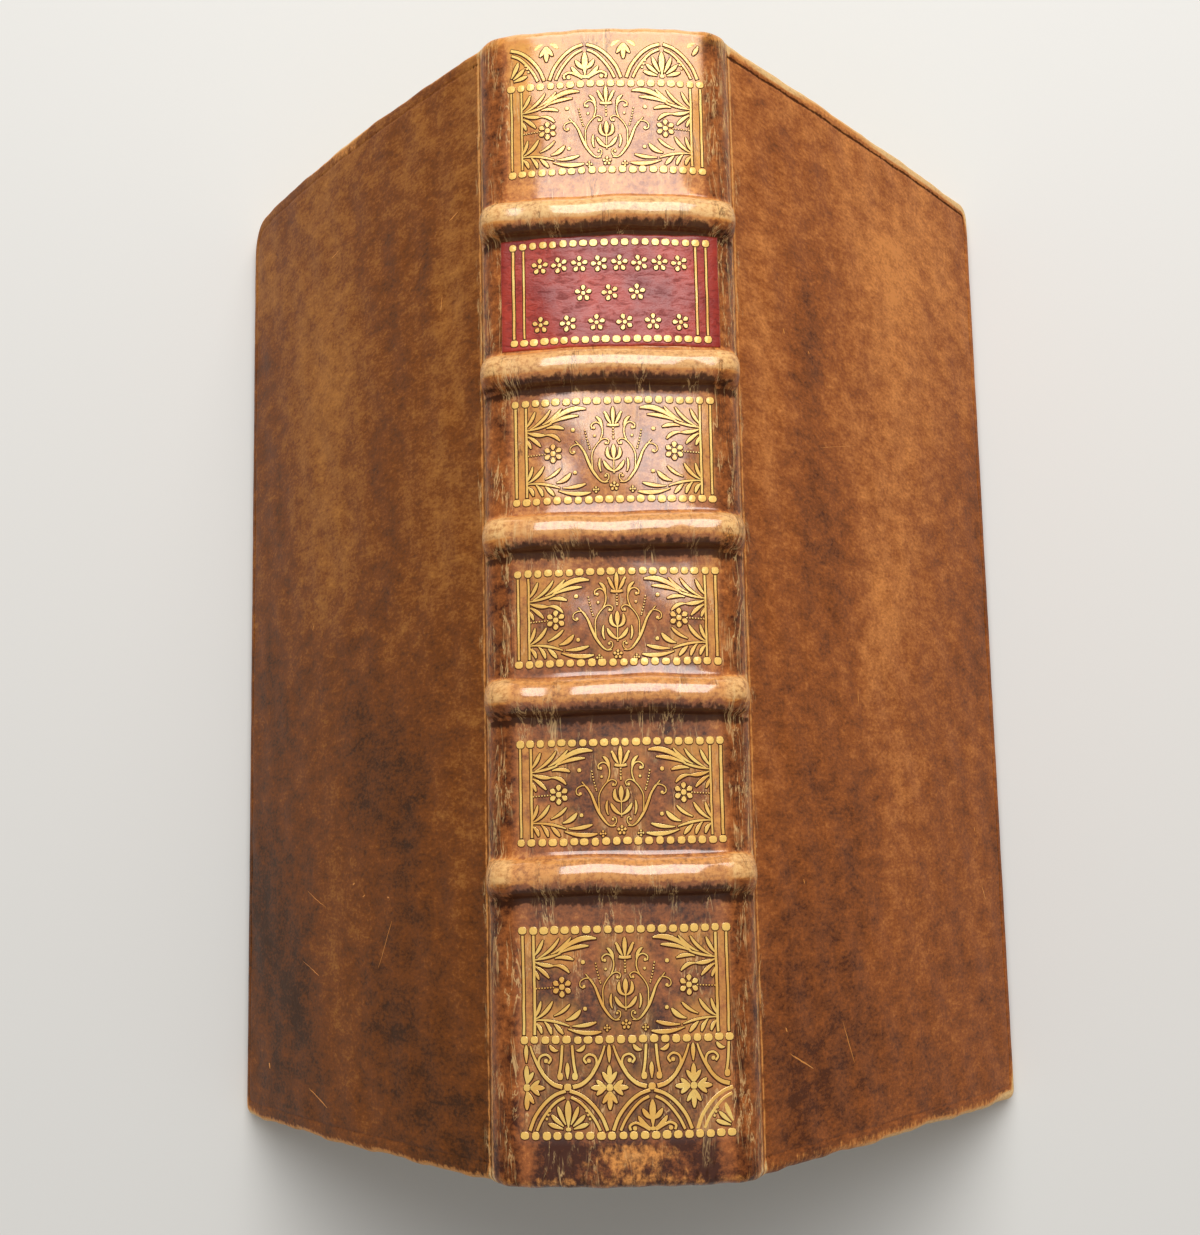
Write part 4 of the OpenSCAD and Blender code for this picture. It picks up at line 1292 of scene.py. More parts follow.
class BOOK_OT_spine_leather(bpy.types.Operator):
    """Spine leather over the five bands, folded in at both caps"""

    bl_idname = "book.spine_leather"
    bl_label = "Spine leather"

    COLUMNS = 96

    def execute(self, context):
        shape = BookShape()
        s = shape.sizes
        along, off, band = np.array(self.rows(shape)).T
        across = np.linspace(-shape.joint_reach, shape.joint_reach, self.COLUMNS)
        grid_s, grid_y = np.meshgrid(across, along)
        grid_off = np.broadcast_to(off[:, None], grid_s.shape)
        share_left = shape.band_share(grid_s)
        proud = np.where(grid_off > 0, grid_off * share_left, grid_off)
        from_bands = np.abs(grid_y[..., None] - np.array(shape.bands))
        hold = smooth((4.6 * MM - np.min(from_bands, -1)) / (2.2 * MM))
        nearest = np.argmin(from_bands, -1)
        turn = grid_s / (23 * MM) * 2 * math.pi + nearest * 2.3
        stray = s.waver * (np.sin(turn) + 0.3 * np.sin(2.3 * turn + 1)) * share_left
        taller = 1 + 0.05 * np.sin(grid_s / (9 * MM) * 2 * math.pi + nearest * 1.7)
        lifted = np.where(band[:, None] > 0, proud * taller, proud)
        edge = smooth((np.abs(grid_y) - shape.half_height + 3 * MM) / (3 * MM))
        ragged = 0.1 * MM * np.sin(grid_s * 900 + 1.3) * np.sin(grid_s * 370) * edge
        ends = smooth((shape.joint_reach - np.abs(grid_s)) / (1.5 * MM))
        swollen = shape.swell(grid_s, grid_y) * ends
        y = grid_y + stray * hold + np.sign(grid_y) * ragged * ends
        points = shape.place(grid_s, y, lifted + swollen)
        unrolled_y = self.unrolled_rows(along, off)
        unrolled = np.stack([grid_s, np.broadcast_to(unrolled_y[:, None], grid_s.shape)], -1)
        piece = add_piece(
            "spine_calf",
            points.reshape(-1, 3),
            grid_faces(len(along), self.COLUMNS),
            unrolled.reshape(-1, 2),
            self.wear(shape, grid_s, grid_y),
        )
        c = context.scene.book_calf
        tones = (c.spine_dark, c.spine_middle, c.spine_pale)
        material = calf_material("Spine calf", tones, 0.9, 1300, 110)
        finish_piece(piece, material, "leaves", "calf", "spine_leather", skin=s.skin)
        return {"FINISHED"}

    @staticmethod
    def rows(shape):
        """Rows (along, off the face, in a band) from the tail's fold to the head's."""
        cap = [(shape.half_height - d, v, 0) for d, v in shape.cap_profile()]
        profile = shape.band_profile()
        marks = [(y + d, h, 1) for y in sorted(shape.bands) for d, h in profile]
        face_end = cap[-1][0]
        plain, last = [], -face_end
        for y in sorted(shape.bands):
            reach = profile[-1][0]
            plain += list(np.linspace(last, y - reach, max(2, int((y - reach - last) / MM)))[1:-1])
            last = y + reach
        plain += list(np.linspace(last, face_end, max(2, int((face_end - last) / MM)))[1:-1])
        face = sorted(marks + [(y, 0, 0) for y in plain])
        tail = [(-y, v, b) for y, v, b in cap]
        return tail + face + cap[::-1]

    @staticmethod
    def unrolled_rows(along, off):
        steps = np.hypot(np.diff(along), np.diff(off))
        run = np.concatenate([[0], np.cumsum(steps)])
        return run - run[-1] / 2

    @staticmethod
    def wear(shape, across, along):
        """Painted rubbing, soiling, cracks, gilt haze and clouds of the spine, with painted shade
        on the bands' tail-side flanks and a painted highlight that grows towards the head.
        """
        d = along[..., None] - np.array(shape.bands)
        left = shape.band_share(across)
        outer = np.abs(across)
        top = np.max(smooth((d + 1.7 * MM) / (1.3 * MM)) * smooth((3.4 * MM - d) / (0.9 * MM)), -1)
        # The flank on the tail side of each band is painted dark: painted shade, with some dirt
        flank = smooth((0.2 * MM - d) / (3.0 * MM)) * smooth((d + 3.9 * MM) / (0.5 * MM))
        flank = np.max(flank, -1)
        on_band = np.max(smooth((3.6 * MM - np.abs(d)) / (0.6 * MM)), -1)
        shoulder = smooth((outer - 14.6 * MM) / (1.2 * MM))
        knob = on_band * shoulder
        from_end = shape.half_height - np.abs(along)
        cap = smooth((2.2 * MM - from_end) / (1.8 * MM))
        bare = smooth((-78.6 * MM - along) / (1 * MM))
        patch = hill(along + 81.2 * MM, 2.4 * MM) * hill(across - 1 * MM, 7 * MM)
        # to_head grows towards the head, and with it the spine is painted paler: more rubbing, more
        # gilt haze and lighter clouds, a painted highlight of the glare on the head end
        to_head = smooth((along + 20 * MM) / (100 * MM))
        # The head cap is painted paler with haze and rubbing: partly a worn film of gold, partly a
        # painted highlight on its rounded top
        head_cap = smooth((along - 82.6 * MM) / (1.6 * MM))
        haze = shape.gilt_haze(across, along) * (0.8 + 0.3 * to_head) + 0.5 * head_cap
        rub = 0.14 + 0.7 * top * left ** 0.3 + 0.16 * knob + 0.35 * cap
        rub = rub + 0.7 * hill(outer - shape.joint_reach + 0.5 * MM, 0.7 * MM)
        rub = rub + 0.6 * patch + 0.12 * bare + 0.28 * to_head * (1 - 0.8 * shoulder)
        rub = rub + 0.2 * head_cap
        soil = 0.1 + 0.9 * flank * left ** 0.3 * (1 - 0.35 * knob) + 0.24 * shoulder * (1 - on_band)
        soil = soil + 0.16 * bare * (1 - patch)
        to_tail = smooth((20 * MM - along) / (50 * MM)) * smooth((14 * MM - outer) / (2 * MM))
        roll = smooth((-58 * MM - along) / (1.5 * MM))
        ground = to_tail * (1 - on_band) * (1 - 0.6 * haze) * (1 + 0.8 * roll)
        soil = soil + 0.14 * ground
        flex = 0.45 + 0.07 * shoulder
        cloud = 0.5 + 0.2 * to_head * (1 - 0.7 * shoulder) - 0.08 * bare - 0.2 * ground
        cloud = cloud - 0.2 * shoulder * (1 - on_band)
        polish = smooth((16.4 * MM - outer) / (2.4 * MM)) * (1 - 0.6 * bare) * (1 - 0.3 * to_head)
        return painted_masks(across, rub, soil, flex, haze, cloud, polish)


class BOOK_OT_cover_leather(bpy.types.Operator):
    """Calf over each board, turned in on three edges and carried over the joint to the spine"""

    bl_idname = "book.cover_leather"
    bl_label = "Cover leather"

    BLEND_END = 1.6 * MM
    CAP_END = 1.4 * MM
    LAST_INSET = 82 * MM

    def execute(self, context):
        shape = BookShape()
        c = context.scene.book_calf
        materials = {
            name: calf_material(
                f"{name.capitalize()} calf",
                [getattr(c, f"{name}_{tone}") for tone in ("dark", "middle", "pale")],
                0.0,
            )
            for name in SIDES
        }
        for name, side in SIDES.items():
            piece = self.make(shape, name, side)
            start = shape.place(side * shape.joint_reach, 0, 0)
            end = shape.place(side * (shape.joint_reach + self.BLEND_END), 0, 0)
            node = f"{name}_cover_leather"
            finish_piece(piece, materials[name], None, "calf", node, skin=shape.sizes.skin)
            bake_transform(piece)
        return {"FINISHED"}

    def make(self, shape, name, side):
        size = shape.sizes
        edge = shape.edge_profile()
        cap = shape.cap_profile()
        lengths = run_lengths(edge)
        face = self.face_insets()
        insets = np.concatenate([edge[:, 0], face])
        cap_insets = np.concatenate([cap[:, 0], face])
        depths = np.concatenate([edge[:, 1], self.groove(face)])
        cap_depths = np.concatenate([cap[:, 1], np.zeros(len(face))])
        flat_insets = np.concatenate([size.edge_radius - lengths, face])
        head_corner = size.front_corner if side > 0 else size.back_corner
        rings, flats = [], []
        for inset, cap_inset, depth, cap_depth, flat in zip(
            insets, cap_insets, depths, cap_depths, flat_insets
        ):
            u, y = self.path(shape, inset, head_corner)
            near = 1 - smooth(u / self.CAP_END)
            y = y + np.sign(y) * near * (inset - cap_inset)
            v = depth * (1 - near) + cap_depth * near
            rings.append(np.stack([u, y, v], 1))
            flat_u, flat_y = self.path(shape, flat, head_corner)
            flats.append(np.stack([side * (shape.joint_reach + flat_u), flat_y], 1))
        rings, flats = np.array(rings), np.array(flats)
        u, y, v = rings[..., 0], rings[..., 1], rings[..., 2]
        u, y = self.worn_edge(shape, u, y, flat_insets[:, None], side)
        away = smooth(u / (2 * MM)) * smooth((insets[:, None] - 0.5 * MM) / (3 * MM))
        on_face = (np.arange(len(insets)) >= len(edge) - 1)[:, None]
        across = side * (shape.joint_reach + u)
        rise = shape.bow(u, side) + np.where(on_face, shape.swell(across, y) * 1.6 * away, 0)
        points = shape.place(across, y, v + rise)
        ring_size = rings.shape[1]
        faces = grid_faces(len(rings), ring_size, flip=side > 0)
        faces += self.middle_faces(len(rings), ring_size, side > 0)
        masks = self.wear(shape, u, y, flat_insets[:, None], v, side)
        return add_piece(
            f"{name}_calf", points.reshape(-1, 3), faces, flats.reshape(-1, 2), masks
        )

    @staticmethod
    def worn_edge(shape, u, y, inset, side):
        """The edges stray a little, as leather does over a board that has been bumped."""
        near = smooth((4 * MM - inset) / (3.5 * MM)) * smooth((u - 2 * MM) / (4 * MM))
        waves = ((1430, 0.02, 0.4), (790, 0.045, 2.1), (390, 0.09, 4.0), (170, 0.11, 1.2))

        def stray(t):
            return sum(a * MM * np.sin(k * t + phase + side) for k, a, phase in waves)

        to_end = smooth((np.abs(y) / shape.half_height - 0.9) / 0.08)
        to_fore = smooth((u / shape.sizes.cover_width - 0.9) / 0.08)
        strength = np.where(y < 0, 1.25, 0.8)
        moved_y = y + np.sign(y) * near * to_end * strength * stray(u + 0.3 * np.sign(y))
        return u - near * to_fore * 0.6 * np.abs(stray(y)), moved_y

    def face_insets(self):
        near = np.array([1.5, 1.9, 2.2, 2.36, 2.5, 2.64, 2.8, 3.1, 3.6, 4.4, 5.6, 7.2, 9.2]) * MM
        far = np.linspace(9.2 * MM, self.LAST_INSET, 28)[1:]
        return np.concatenate([near, far])

    @staticmethod
    def groove(insets):
        """Depth of the blind fillet sunk in along the edges."""
        return -0.12 * MM * hill(insets - 2.5 * MM, 0.2 * MM)

    JOINT_STEPS = np.array([0, 0.12, 0.26, 0.42, 0.6, 0.8, 1.0, 1.25, 1.6, 2.1, 2.8, 3.8]) * MM
    STRAIGHT = 96
    ROUND = 8
    FORE = 150

    def path(self, shape, inset, head_corner):
        """Line round three edges at an inset: distances from the joint and along."""
        size = shape.sizes
        reach = shape.half_height - inset

        def radius(corner):
            return max(corner - inset, min(0.3 * MM + 0.2 * inset, 0.9 * reach))

        head, tail = radius(head_corner), radius(size.tail_corner)
        right = size.cover_width - inset
        rest = np.linspace(0, 1, self.STRAIGHT + 1)[1:] ** 0.9

        def straight(end):
            first = self.JOINT_STEPS
            return np.concatenate([first, first[-1] + (end - first[-1]) * rest])

        turn = np.linspace(math.pi / 2, 0, self.ROUND + 1)[1:-1]
        along_head, along_tail = straight(right - head), straight(right - tail)
        fore = np.linspace(reach - head, tail - reach, self.FORE)
        u = np.concatenate([
            along_head,
            right - head + head * np.cos(turn),
            np.full(self.FORE, right),
            right - tail + tail * np.cos(turn[::-1]),
            along_tail[::-1],
        ])
        y = np.concatenate([
            np.full(len(along_head), reach),
            reach - head + head * np.sin(turn),
            fore,
            tail - reach - tail * np.sin(turn[::-1]),
            np.full(len(along_tail), -reach),
        ])
        return u, y

    def middle_faces(self, rings, ring_size, flip):
        """Closes the middle of the face between the last ring's two straight sides."""
        start = (rings - 1) * ring_size
        straight = len(self.JOINT_STEPS) + self.STRAIGHT
        quads = []
        for i in range(straight - 1):
            a, b = start + i, start + ring_size - 1 - i
            quads.append((a, b, b - 1, a + 1) if flip else (a, a + 1, b - 1, b))
        end = list(range(start + straight - 1, start + ring_size - straight + 1))
        quads.append(end[::-1] if flip else end)
        return quads

    # Clouds in the dye of each board: from the joint, along, reach across and along, and shade
    CLOUDS = {
        -1: [
            (84, 5, 13, 60, -0.3), (82, -55, 14, 40, -0.25), (55, 45, 9, 24, 0.24),
            (30, 32, 10, 20, -0.3), (16.5, 54, 2.5, 8, -0.4), (9, 42, 5, 22, 0.2),
            (55, 3, 9, 14, 0.14), (31, 0, 9, 12, -0.2), (38, -28, 8, 14, -0.18),
            (55, -42, 10, 18, 0.24), (30, -8, 8, 9, 0.12), (42, -46, 9, 14, 0.16),
            (24, -36, 6, 22, -0.26), (67, -64, 8, 14, -0.3), (32, -64, 9, 8, -0.26),
            (20, -76, 14, 8, -0.14), (86, -49, 5, 8, -0.2), (7, -38, 4, 18, 0.12),
        ],
        1: [
            (8, 30, 4, 20, 0.22), (23, 38, 6, 16, -0.3), (27, 12, 7, 24, -0.28),
            (55, 52, 14, 24, 0.3), (60, 32, 16, 14, 0.22), (46, 6, 7, 12, 0.22),
            (72, 64, 4, 6, -0.16), (75, 55, 4, 5, -0.14), (55, 76, 8, 5, -0.2),
            (12, -18, 9, 6, -0.28), (11, -47, 8, 12, -0.3), (12, -74, 12, 9, -0.3),
            (30, -48, 9, 9, -0.2), (52, -30, 8, 12, 0.1), (55, -57, 8, 8, 0.12),
            (93, -10, 7, 60, -0.24), (76, -54, 7, 10, -0.12), (68, -67, 9, 7, 0.1),
            (60, 66, 24, 14, 0.14), (45, -70, 30, 12, -0.1),
        ],
    }

    @classmethod
    def wear(cls, shape, u, y, flat_inset, v, side):
        """Painted rubbing, soiling, cracks and clouds of a cover, with painted light that grows
        towards the head.
        """
        size = shape.sizes
        front = side > 0
        rim = smooth((2.3 * MM - flat_inset) / (0.8 * MM))
        edge = smooth((1.4 * MM - flat_inset) / (1.2 * MM))
        to_head = smooth((y / shape.half_height - 0.93) / 0.05)
        to_tail = smooth((-y / shape.half_height - 0.93) / 0.05)
        from_corner = np.hypot(size.cover_width - u, shape.half_height - np.abs(y))
        corner = hill(from_corner, 9 * MM)
        outward = smooth((u - 12 * MM) / (30 * MM))
        if front:
            chafed = hill(u - 66 * MM, 15 * MM) + 0.8 * hill(u - 16 * MM, 9 * MM)
            worn = to_head * (rim * (0.6 + 0.6 * chafed) + 0.4 * edge)
            worn = worn + to_tail * (0.45 * rim + 0.5 * edge * outward)
            worn = worn + 0.8 * corner * smooth((3 * MM - flat_inset) / (2 * MM))
        else:
            chafed = hill(u - 47 * MM, 10 * MM) * smooth((5.5 * MM - flat_inset) / (4 * MM))
            worn = to_head * (0.6 * edge + 0.6 * chafed) + to_tail * (0.25 * rim + 0.55 * edge)
            worn = worn + 0.4 * corner * rim
        joint = hill(u - 0.6 * MM, 0.4 * MM)
        groove = hill(flat_inset - 2.5 * MM, 0.34 * MM) * (0.5 * to_head * front + 0.28)
        rub = 0.1 + 0.42 * edge * (1 - to_head) * (1 - to_tail) + worn + 0.7 * joint
        rub = rub + 0.16 * smooth((y - 30 * MM) / (50 * MM)) * hill(u, 4 * MM)
        soil = 0.1 + 0.2 * hill(u - 1.9 * MM, 0.9 * MM) + groove
        soil = soil + 0.1 * hill(flat_inset - 4 * MM, 3 * MM)
        flex = 0.12 + 0.34 * smooth((4.2 * MM - u) / (3 * MM))
        # Painted light: each cover is painted lighter towards the head and darker towards the tail
        cloud = 0.5 + 0.13 * y / shape.half_height
        for at_u, at_y, wide, tall, shade in cls.CLOUDS[side]:
            reach = ((u - at_u * MM) / (wide * MM)) ** 2 + ((y - at_y * MM) / (tall * MM)) ** 2
            cloud = cloud + 0.6 * shade * np.exp(-reach)
        return painted_masks(v, rub, soil, flex, 0, cloud, 0)


class BOOK_OT_scuffs(bpy.types.Operator):
    """Scratches and chips in the face of both covers"""

    bl_idname = "book.scuffs"
    bl_label = "Scuffs"

    # Ends in millimetres from the joint and along, and width
    MARKS = {
        "back": [
            (62.8, -44.7, 54.3, -47.4, 0.14), (28.9, -49.3, 33.7, -56.6, 0.16),
            (61.7, -77.4, 53.3, -79.8, 0.3), (64.5, -56.6, 57.1, -58.7, 0.12),
            (52.7, 65.6, 49.6, 66.0, 0.25), (25.8, -23.1, 24.7, -22.2, 0.3),
            (43.3, -43.7, 42.6, -43.4, 0.5), (39.4, -45.6, 38.6, -45.3, 0.4),
            (30.7, -45.6, 29.9, -45.7, 0.4), (81.5, -74.8, 80.9, -75.8, 0.5),
            (9.5, 59.5, 6.8, 60.2, 0.3), (12.0, 48.0, 12.4, 45.6, 0.2), (60.5, 1.0, 61.0, 0.2, 0.3),
        ],
        "front": [
            (8.9, -69.0, 15.7, -71.8, 0.34), (25.7, -65.6, 29.2, -72.2, 0.2),
            (36.0, -13.9, 36.1, -16.4, 0.2), (84.3, -46.3, 85.8, -49.0, 0.3),
            (25.7, 24.4, 40.0, 27.3, 0.1), (15.0, 42.0, 15.4, 41.2, 0.4),
            (23.0, 40.0, 23.3, 39.5, 0.3), (82.0, -36.0, 82.4, -36.8, 0.3),
            (15.0, -44.0, 15.3, -44.7, 0.3), (7.6, -65.2, 8.0, -65.8, 0.4),
        ],
    }

    def execute(self, context):
        shape = BookShape()
        c = context.scene.book_calf
        material = calf_material("Scuffed calf", (c.rubbed, c.cracked, c.cracked), 0.0, 1800)
        rng = np.random.default_rng(SCUFF_SEED)
        t = np.linspace(0, 1, 9)
        for name, marks in self.MARKS.items():
            side = SIDES[name]
            strokes = Strokes()
            for u0, y0, u1, y1, width in marks:
                path = np.column_stack([u0 + (u1 - u0) * t, y0 + (y1 - y0) * t])
                bent = min(1, math.hypot(u1 - u0, y1 - y0) / 3)
                path[1:-1] += rng.normal(0, 0.035, (7, 2)) * bent
                swelling = 0.2 + np.sin(math.pi * t) ** 0.6 * rng.uniform(0.6, 1.2, 9)
                strokes.line(path, 0.8 * width * swelling)
            flat = np.array(strokes.points)
            across = side * (shape.joint_reach + flat[:, 0] * MM)
            along = flat[:, 1] * MM
            off = np.where(flat[:, 2] < 0, -0.04 * MM, 0.025 * MM)
            off = off + shape.bow(flat[:, 0] * MM, side) + 1.6 * shape.swell(across, along)
            piece = add_piece(
                f"{name}_scuffs",
                shape.place(across, along, off),
                strokes.faces if side > 0 else [f[::-1] for f in strokes.faces],
                np.column_stack([across, along]),
                smooth_faces=False,
            )
            finish_piece(piece, material, f"{name}_cover", "calf")
        return {"FINISHED"}


class BOOK_OT_title_label(bpy.types.Operator):
    """Red morocco label between the first two bands"""

    bl_idname = "book.title_label"
    bl_label = "Title label"

    # Points across a rim (inset in millimetres, share of the height), and over each side
    RIM = np.array([(0, 0.0), (0.03, 0.5), (0.1, 0.85), (0.25, 1.0)])
    ROWS, COLUMNS = 58, 108

    def execute(self, context):
        shape = BookShape()
        t = context.scene.book_tooling
        low, high = shape.label_ends
        insets, rise = self.RIM[:, 0] * MM, self.RIM[:, 1]

        def run(start, end, inner):
            """Places from one side to the other, and the share of the height at each."""
            middle = np.linspace(start + insets[-1], end - insets[-1], inner + 2)[1:-1]
            places = np.concatenate([start + insets, middle, (end - insets)[::-1]])
            return places, np.concatenate([rise, np.ones(inner), rise[::-1]])

        reach = t.label_reach
        along, level_y = run(low, high, self.ROWS)
        across, level_s = run(-reach, reach, self.COLUMNS)
        grid_s, grid_y = np.meshgrid(across + t.drift, along)
        level = np.minimum(level_y[:, None], level_s[None, :])
        ragged = 0.1 * MM * np.sin(grid_s * 800) * np.sin(grid_s * 290 + 1)
        middle = (low + high) / 2
        y = grid_y + ragged * np.clip((grid_y - middle) / (high - middle), -1, 1) ** 3
        top = shape.swell(grid_s, grid_y) + t.label_thickness * level
        points = shape.place(grid_s, y, top - 0.02 * MM)
        rim = np.minimum(
            np.minimum(grid_y - low, high - grid_y), reach - np.abs(grid_s - t.drift)
        )
        rub = 0.1 + 0.45 * smooth(1 - rim / (0.8 * MM))
        piece = add_piece(
            "label_morocco",
            points.reshape(-1, 3),
            grid_faces(len(along), len(across)),
            np.stack([grid_s, grid_y], -1).reshape(-1, 2),
            {RUB: rub.ravel()},
        )
        material = morocco_material()
        finish_piece(piece, material, "leaves", "red_morocco", "title_label", skin=0.15 * MM)
        return {"FINISHED"}


class BOOK_OT_gold_tooling(bpy.types.Operator):
    """Gold-tooled panels, rolls and label lines on the spine"""

    bl_idname = "book.gold_tooling"
    bl_label = "Gold tooling"

    # In millimetres: where each roll starts, where the head roll is cut off and its half
    # height, the label's pearl lines from its edges, its rows of flowers (height, number,
    # width), and how far towards the tail a dark rim of painted shadow lies, as a share of its
    # spread
    TAIL_START, HEAD_START = 3.4, -3.1
    HEAD_CUT, ROLL_HALF = 0.2, 5.9
    LABEL_INSET = 1.15
    LABEL_ROWS = ((4.2, 8, 21.0), (-0.3, 3, 8.0), (-4.9, 6, 21.0))
    RIM_SHIFT = 0.3

    def execute(self, context):
        shape = BookShape()
        sizes = context.scene.book_tooling
        c = context.scene.book_calf
        # The second pass lays dark calf rims round every stroke, moved towards the tail: a painted
        # shadow of the sunk tooling
        rims = calf_material("Pressed calf", (c.spine_dark, c.spine_dark, c.spine_middle), 0.5)
        for kind, spread, material, slot in (
            ("gold", 0.0, gold_material(), "gold"),
            ("pressed", sizes.pressed / MM, rims, "calf"),
        ):
            for node, (strokes, middle, lift) in self.tooling(shape, sizes, spread).items():
                name = node.replace("gilt", kind)
                middle = middle - self.RIM_SHIFT * spread * MM
                piece = lay_strokes(name, strokes, shape, middle, lift, sizes)
                finish_piece(piece, material, "leaves", slot, *([] if spread else [node]))
        return {"FINISHED"}

    def tooling(self, shape, sizes, spread):
        """Strokes, middle and lift of each part of the tooling. A spread gives its dark rims, a
        painted shadow.
        """
        rng = np.random.default_rng(TOOLING_SEED)
        drawn = {}
        for node, (y0, y1) in shape.panels.items():
            if "panel" in node:
                drawn[node] = (draw_panel(y0, y1, sizes, rng, spread), (y0 + y1) / 2, 0.0)
        half = sizes.panel_half / MM
        y0, y1 = shape.panels["gilt_tail_roll"]
        tail_roll = draw_roll(self.TAIL_START, half + 0.4, True, spread)
        pearl_line(tail_roll, (y0 - y1) / 2 / MM, half, sizes, rng)
        drawn["gilt_tail_roll"] = (tail_roll, (y0 + y1) / 2, 0.0)
        head_roll = draw_roll(self.HEAD_START, half + 0.4, False, spread)
        head_roll = head_roll.whole(lambda points: points[:, 1] < self.HEAD_CUT)
        foot = shape.panels["gilt_head_roll"][0] + sizes.pearl * 0.6
        drawn["gilt_head_roll"] = (head_roll, foot + self.ROLL_HALF * MM, 0.0)
        low, high = shape.label_ends
        label = framed((high - low) / 2 / MM - self.LABEL_INSET, sizes, rng, spread)
        for y, flowers, wide in self.LABEL_ROWS:
            for i, x in enumerate(np.linspace(-wide / 2, wide / 2, flowers)):
                small_flower(label, x, y, 2.4, 5, 0.3 * (i % 2))
        drawn["gilt_label"] = (label, (low + high) / 2, sizes.label_thickness - 0.02 * MM)
        return drawn


class BOOK_OT_leaves(bpy.types.Operator):
    """Sewn gatherings of rag paper on both sides of the opening"""

    bl_idname = "book.leaves"
    bl_label = "Leaves"

    # Share of a gathering left open to the next, its leaf lines, and the points on each
    GAP, LINES, STEPS = 0.035, 4, 22

    def execute(self, context):
        shape = BookShape()
        sizes = context.scene.book_leaves
        rng = np.random.default_rng(LEAF_SEED)
        points, faces, places, edges = [], [], [], []
        for side in (1, -1):
            for k in range(sizes.gatherings):
                self.gathering(shape, sizes, side, k, rng, points, faces, places, edges)
        piece = add_piece(
            "rag_leaves",
            np.concatenate(points),
            faces,
            masks={"leaf_place": np.concatenate(places), "edge": np.concatenate(edges)},
            smooth_faces=False,
        )
        finish_piece(piece, leaf_material(), "leaves", "leaves", "text_block")
        return {"FINISHED"}

    def leaf_path(self, shape, sizes, t, longer):
        """Line of the leaf at share t of the stack, from the spine to the fore edge."""

        def slanted(angle):
            return np.array([math.sin(angle), -math.cos(angle)])

        s = shape.sizes
        run, end_run = slanted(s.half_angle), slanted(s.half_angle - sizes.sag * t)
        out = np.array([math.cos(s.half_angle), math.sin(s.half_angle)])
        joint = np.array([shape.joint_x, shape.joint_z])
        outer_end = joint + run * sizes.width - out * sizes.depth
        outer_start = joint + run * 0.6 * MM - out * sizes.depth
        # The innermost leaf turns down from the middle of the spine and then hangs straight
        top = shape.joint_z + s.spine_rise - sizes.back_depth
        inner_turn = 38.7 * MM
        inner_angle = s.half_angle - sizes.sag
        bend = np.array([
            0.25 * MM + inner_turn * (1 - math.cos(inner_angle)),
            top - 2 * MM - inner_turn * math.sin(inner_angle),
        ])
        inner_end = bend + slanted(inner_angle) * (sizes.width - inner_turn * inner_angle)
        fore = outer_end + (inner_end - outer_end) * t
        fore = fore - np.array([0, 1]) * sizes.bulge * 4 * t * (1 - t)
        fore = fore + end_run * longer
        back = np.interp(t, [0, 1], [shape.joint_reach - 1.0 * MM, 0.15 * MM])
        on_arch = shape.place(back, 0, -sizes.back_depth)[[0, 2]]
        start = outer_start * (1 - smooth(t * 5)) + on_arch * smooth(t * 5)
        reach = np.linalg.norm(fore - start)
        p1 = start + slanted(s.half_angle * (1 - t)) * reach * 0.3
        p2 = fore - end_run * reach * 0.42
        w = np.linspace(0, 1, self.STEPS)[:, None] ** 1.15
        line = (
            (1 - w) ** 3 * start + 3 * w * (1 - w) ** 2 * p1 + 3 * w**2 * (1 - w) * p2 + w**3 * fore
        )
        u, v = (line - joint) @ run, (line - joint) @ out
        above = np.clip(v + sizes.depth + 2 * MM * t, 0, None) * smooth(u / (0.5 * MM))
        return line - above[:, None] * out

    def gathering(self, shape, sizes, side, k, rng, points, faces, places, edges):
        """Adds one gathering: a thin block between four of its leaves' lines."""
        t0, t1 = ((k + part) / sizes.gatherings for part in (self.GAP, 1 - self.GAP))
        longer = rng.uniform(-1, 0.4) * sizes.uneven
        head = sizes.height / 2 + rng.uniform(-1, 0) * sizes.uneven
        tail = -sizes.height / 2 + rng.uniform(0, 1) * sizes.uneven
        stack = np.array([
            self.leaf_path(shape, sizes, t, longer) for t in np.linspace(t0, t1, self.LINES)
        ])
        lines, steps = stack.shape[:2]
        flat = stack.reshape(-1, 2)
        one_set = len(flat)
        start = sum(len(p) for p in points)
        along = np.tile(np.linspace(0, sizes.width, steps), lines)
        across = np.repeat(np.linspace(t0, t1, lines) * sizes.stack, steps)
        fore = np.tile((np.arange(steps) == steps - 1).astype(float), lines)
        for y in (tail, head):
            level = np.full(one_set, y)
            # Each end gets its own points for its face, and a second set for the long faces
            for edge in (np.ones(one_set), fore):
                points.append(np.column_stack([side * flat[:, 0], level, flat[:, 1]]))
                places.append(np.column_stack([along, across, level]))
                edges.append(edge)
        tail_face, tail_side, head_face, head_side = (start + i * one_set for i in range(4))

        def quad(a, b, c, d, flip):
            faces.append((d, c, b, a) if flip else (a, b, c, d))

        def wall(a, b, flip):
            quad(tail_side + a, tail_side + b, head_side + b, head_side + a, flip)

        for j in range(lines - 1):
            for i in range(steps - 1):
                for first, flip in ((tail_face, side > 0), (head_face, side < 0)):
                    a = first + j * steps + i
                    b = a + steps
                    quad(a, b, b + 1, a + 1, flip)
        last = (lines - 1) * steps
        for i in range(steps - 1):
            wall(i, i + 1, side > 0)
            wall(last + i, last + i + 1, side < 0)
        for a in range(0, last, steps):
            wall(a, a + steps, side < 0)
            wall(a + steps - 1, a + 2 * steps - 1, side > 0)


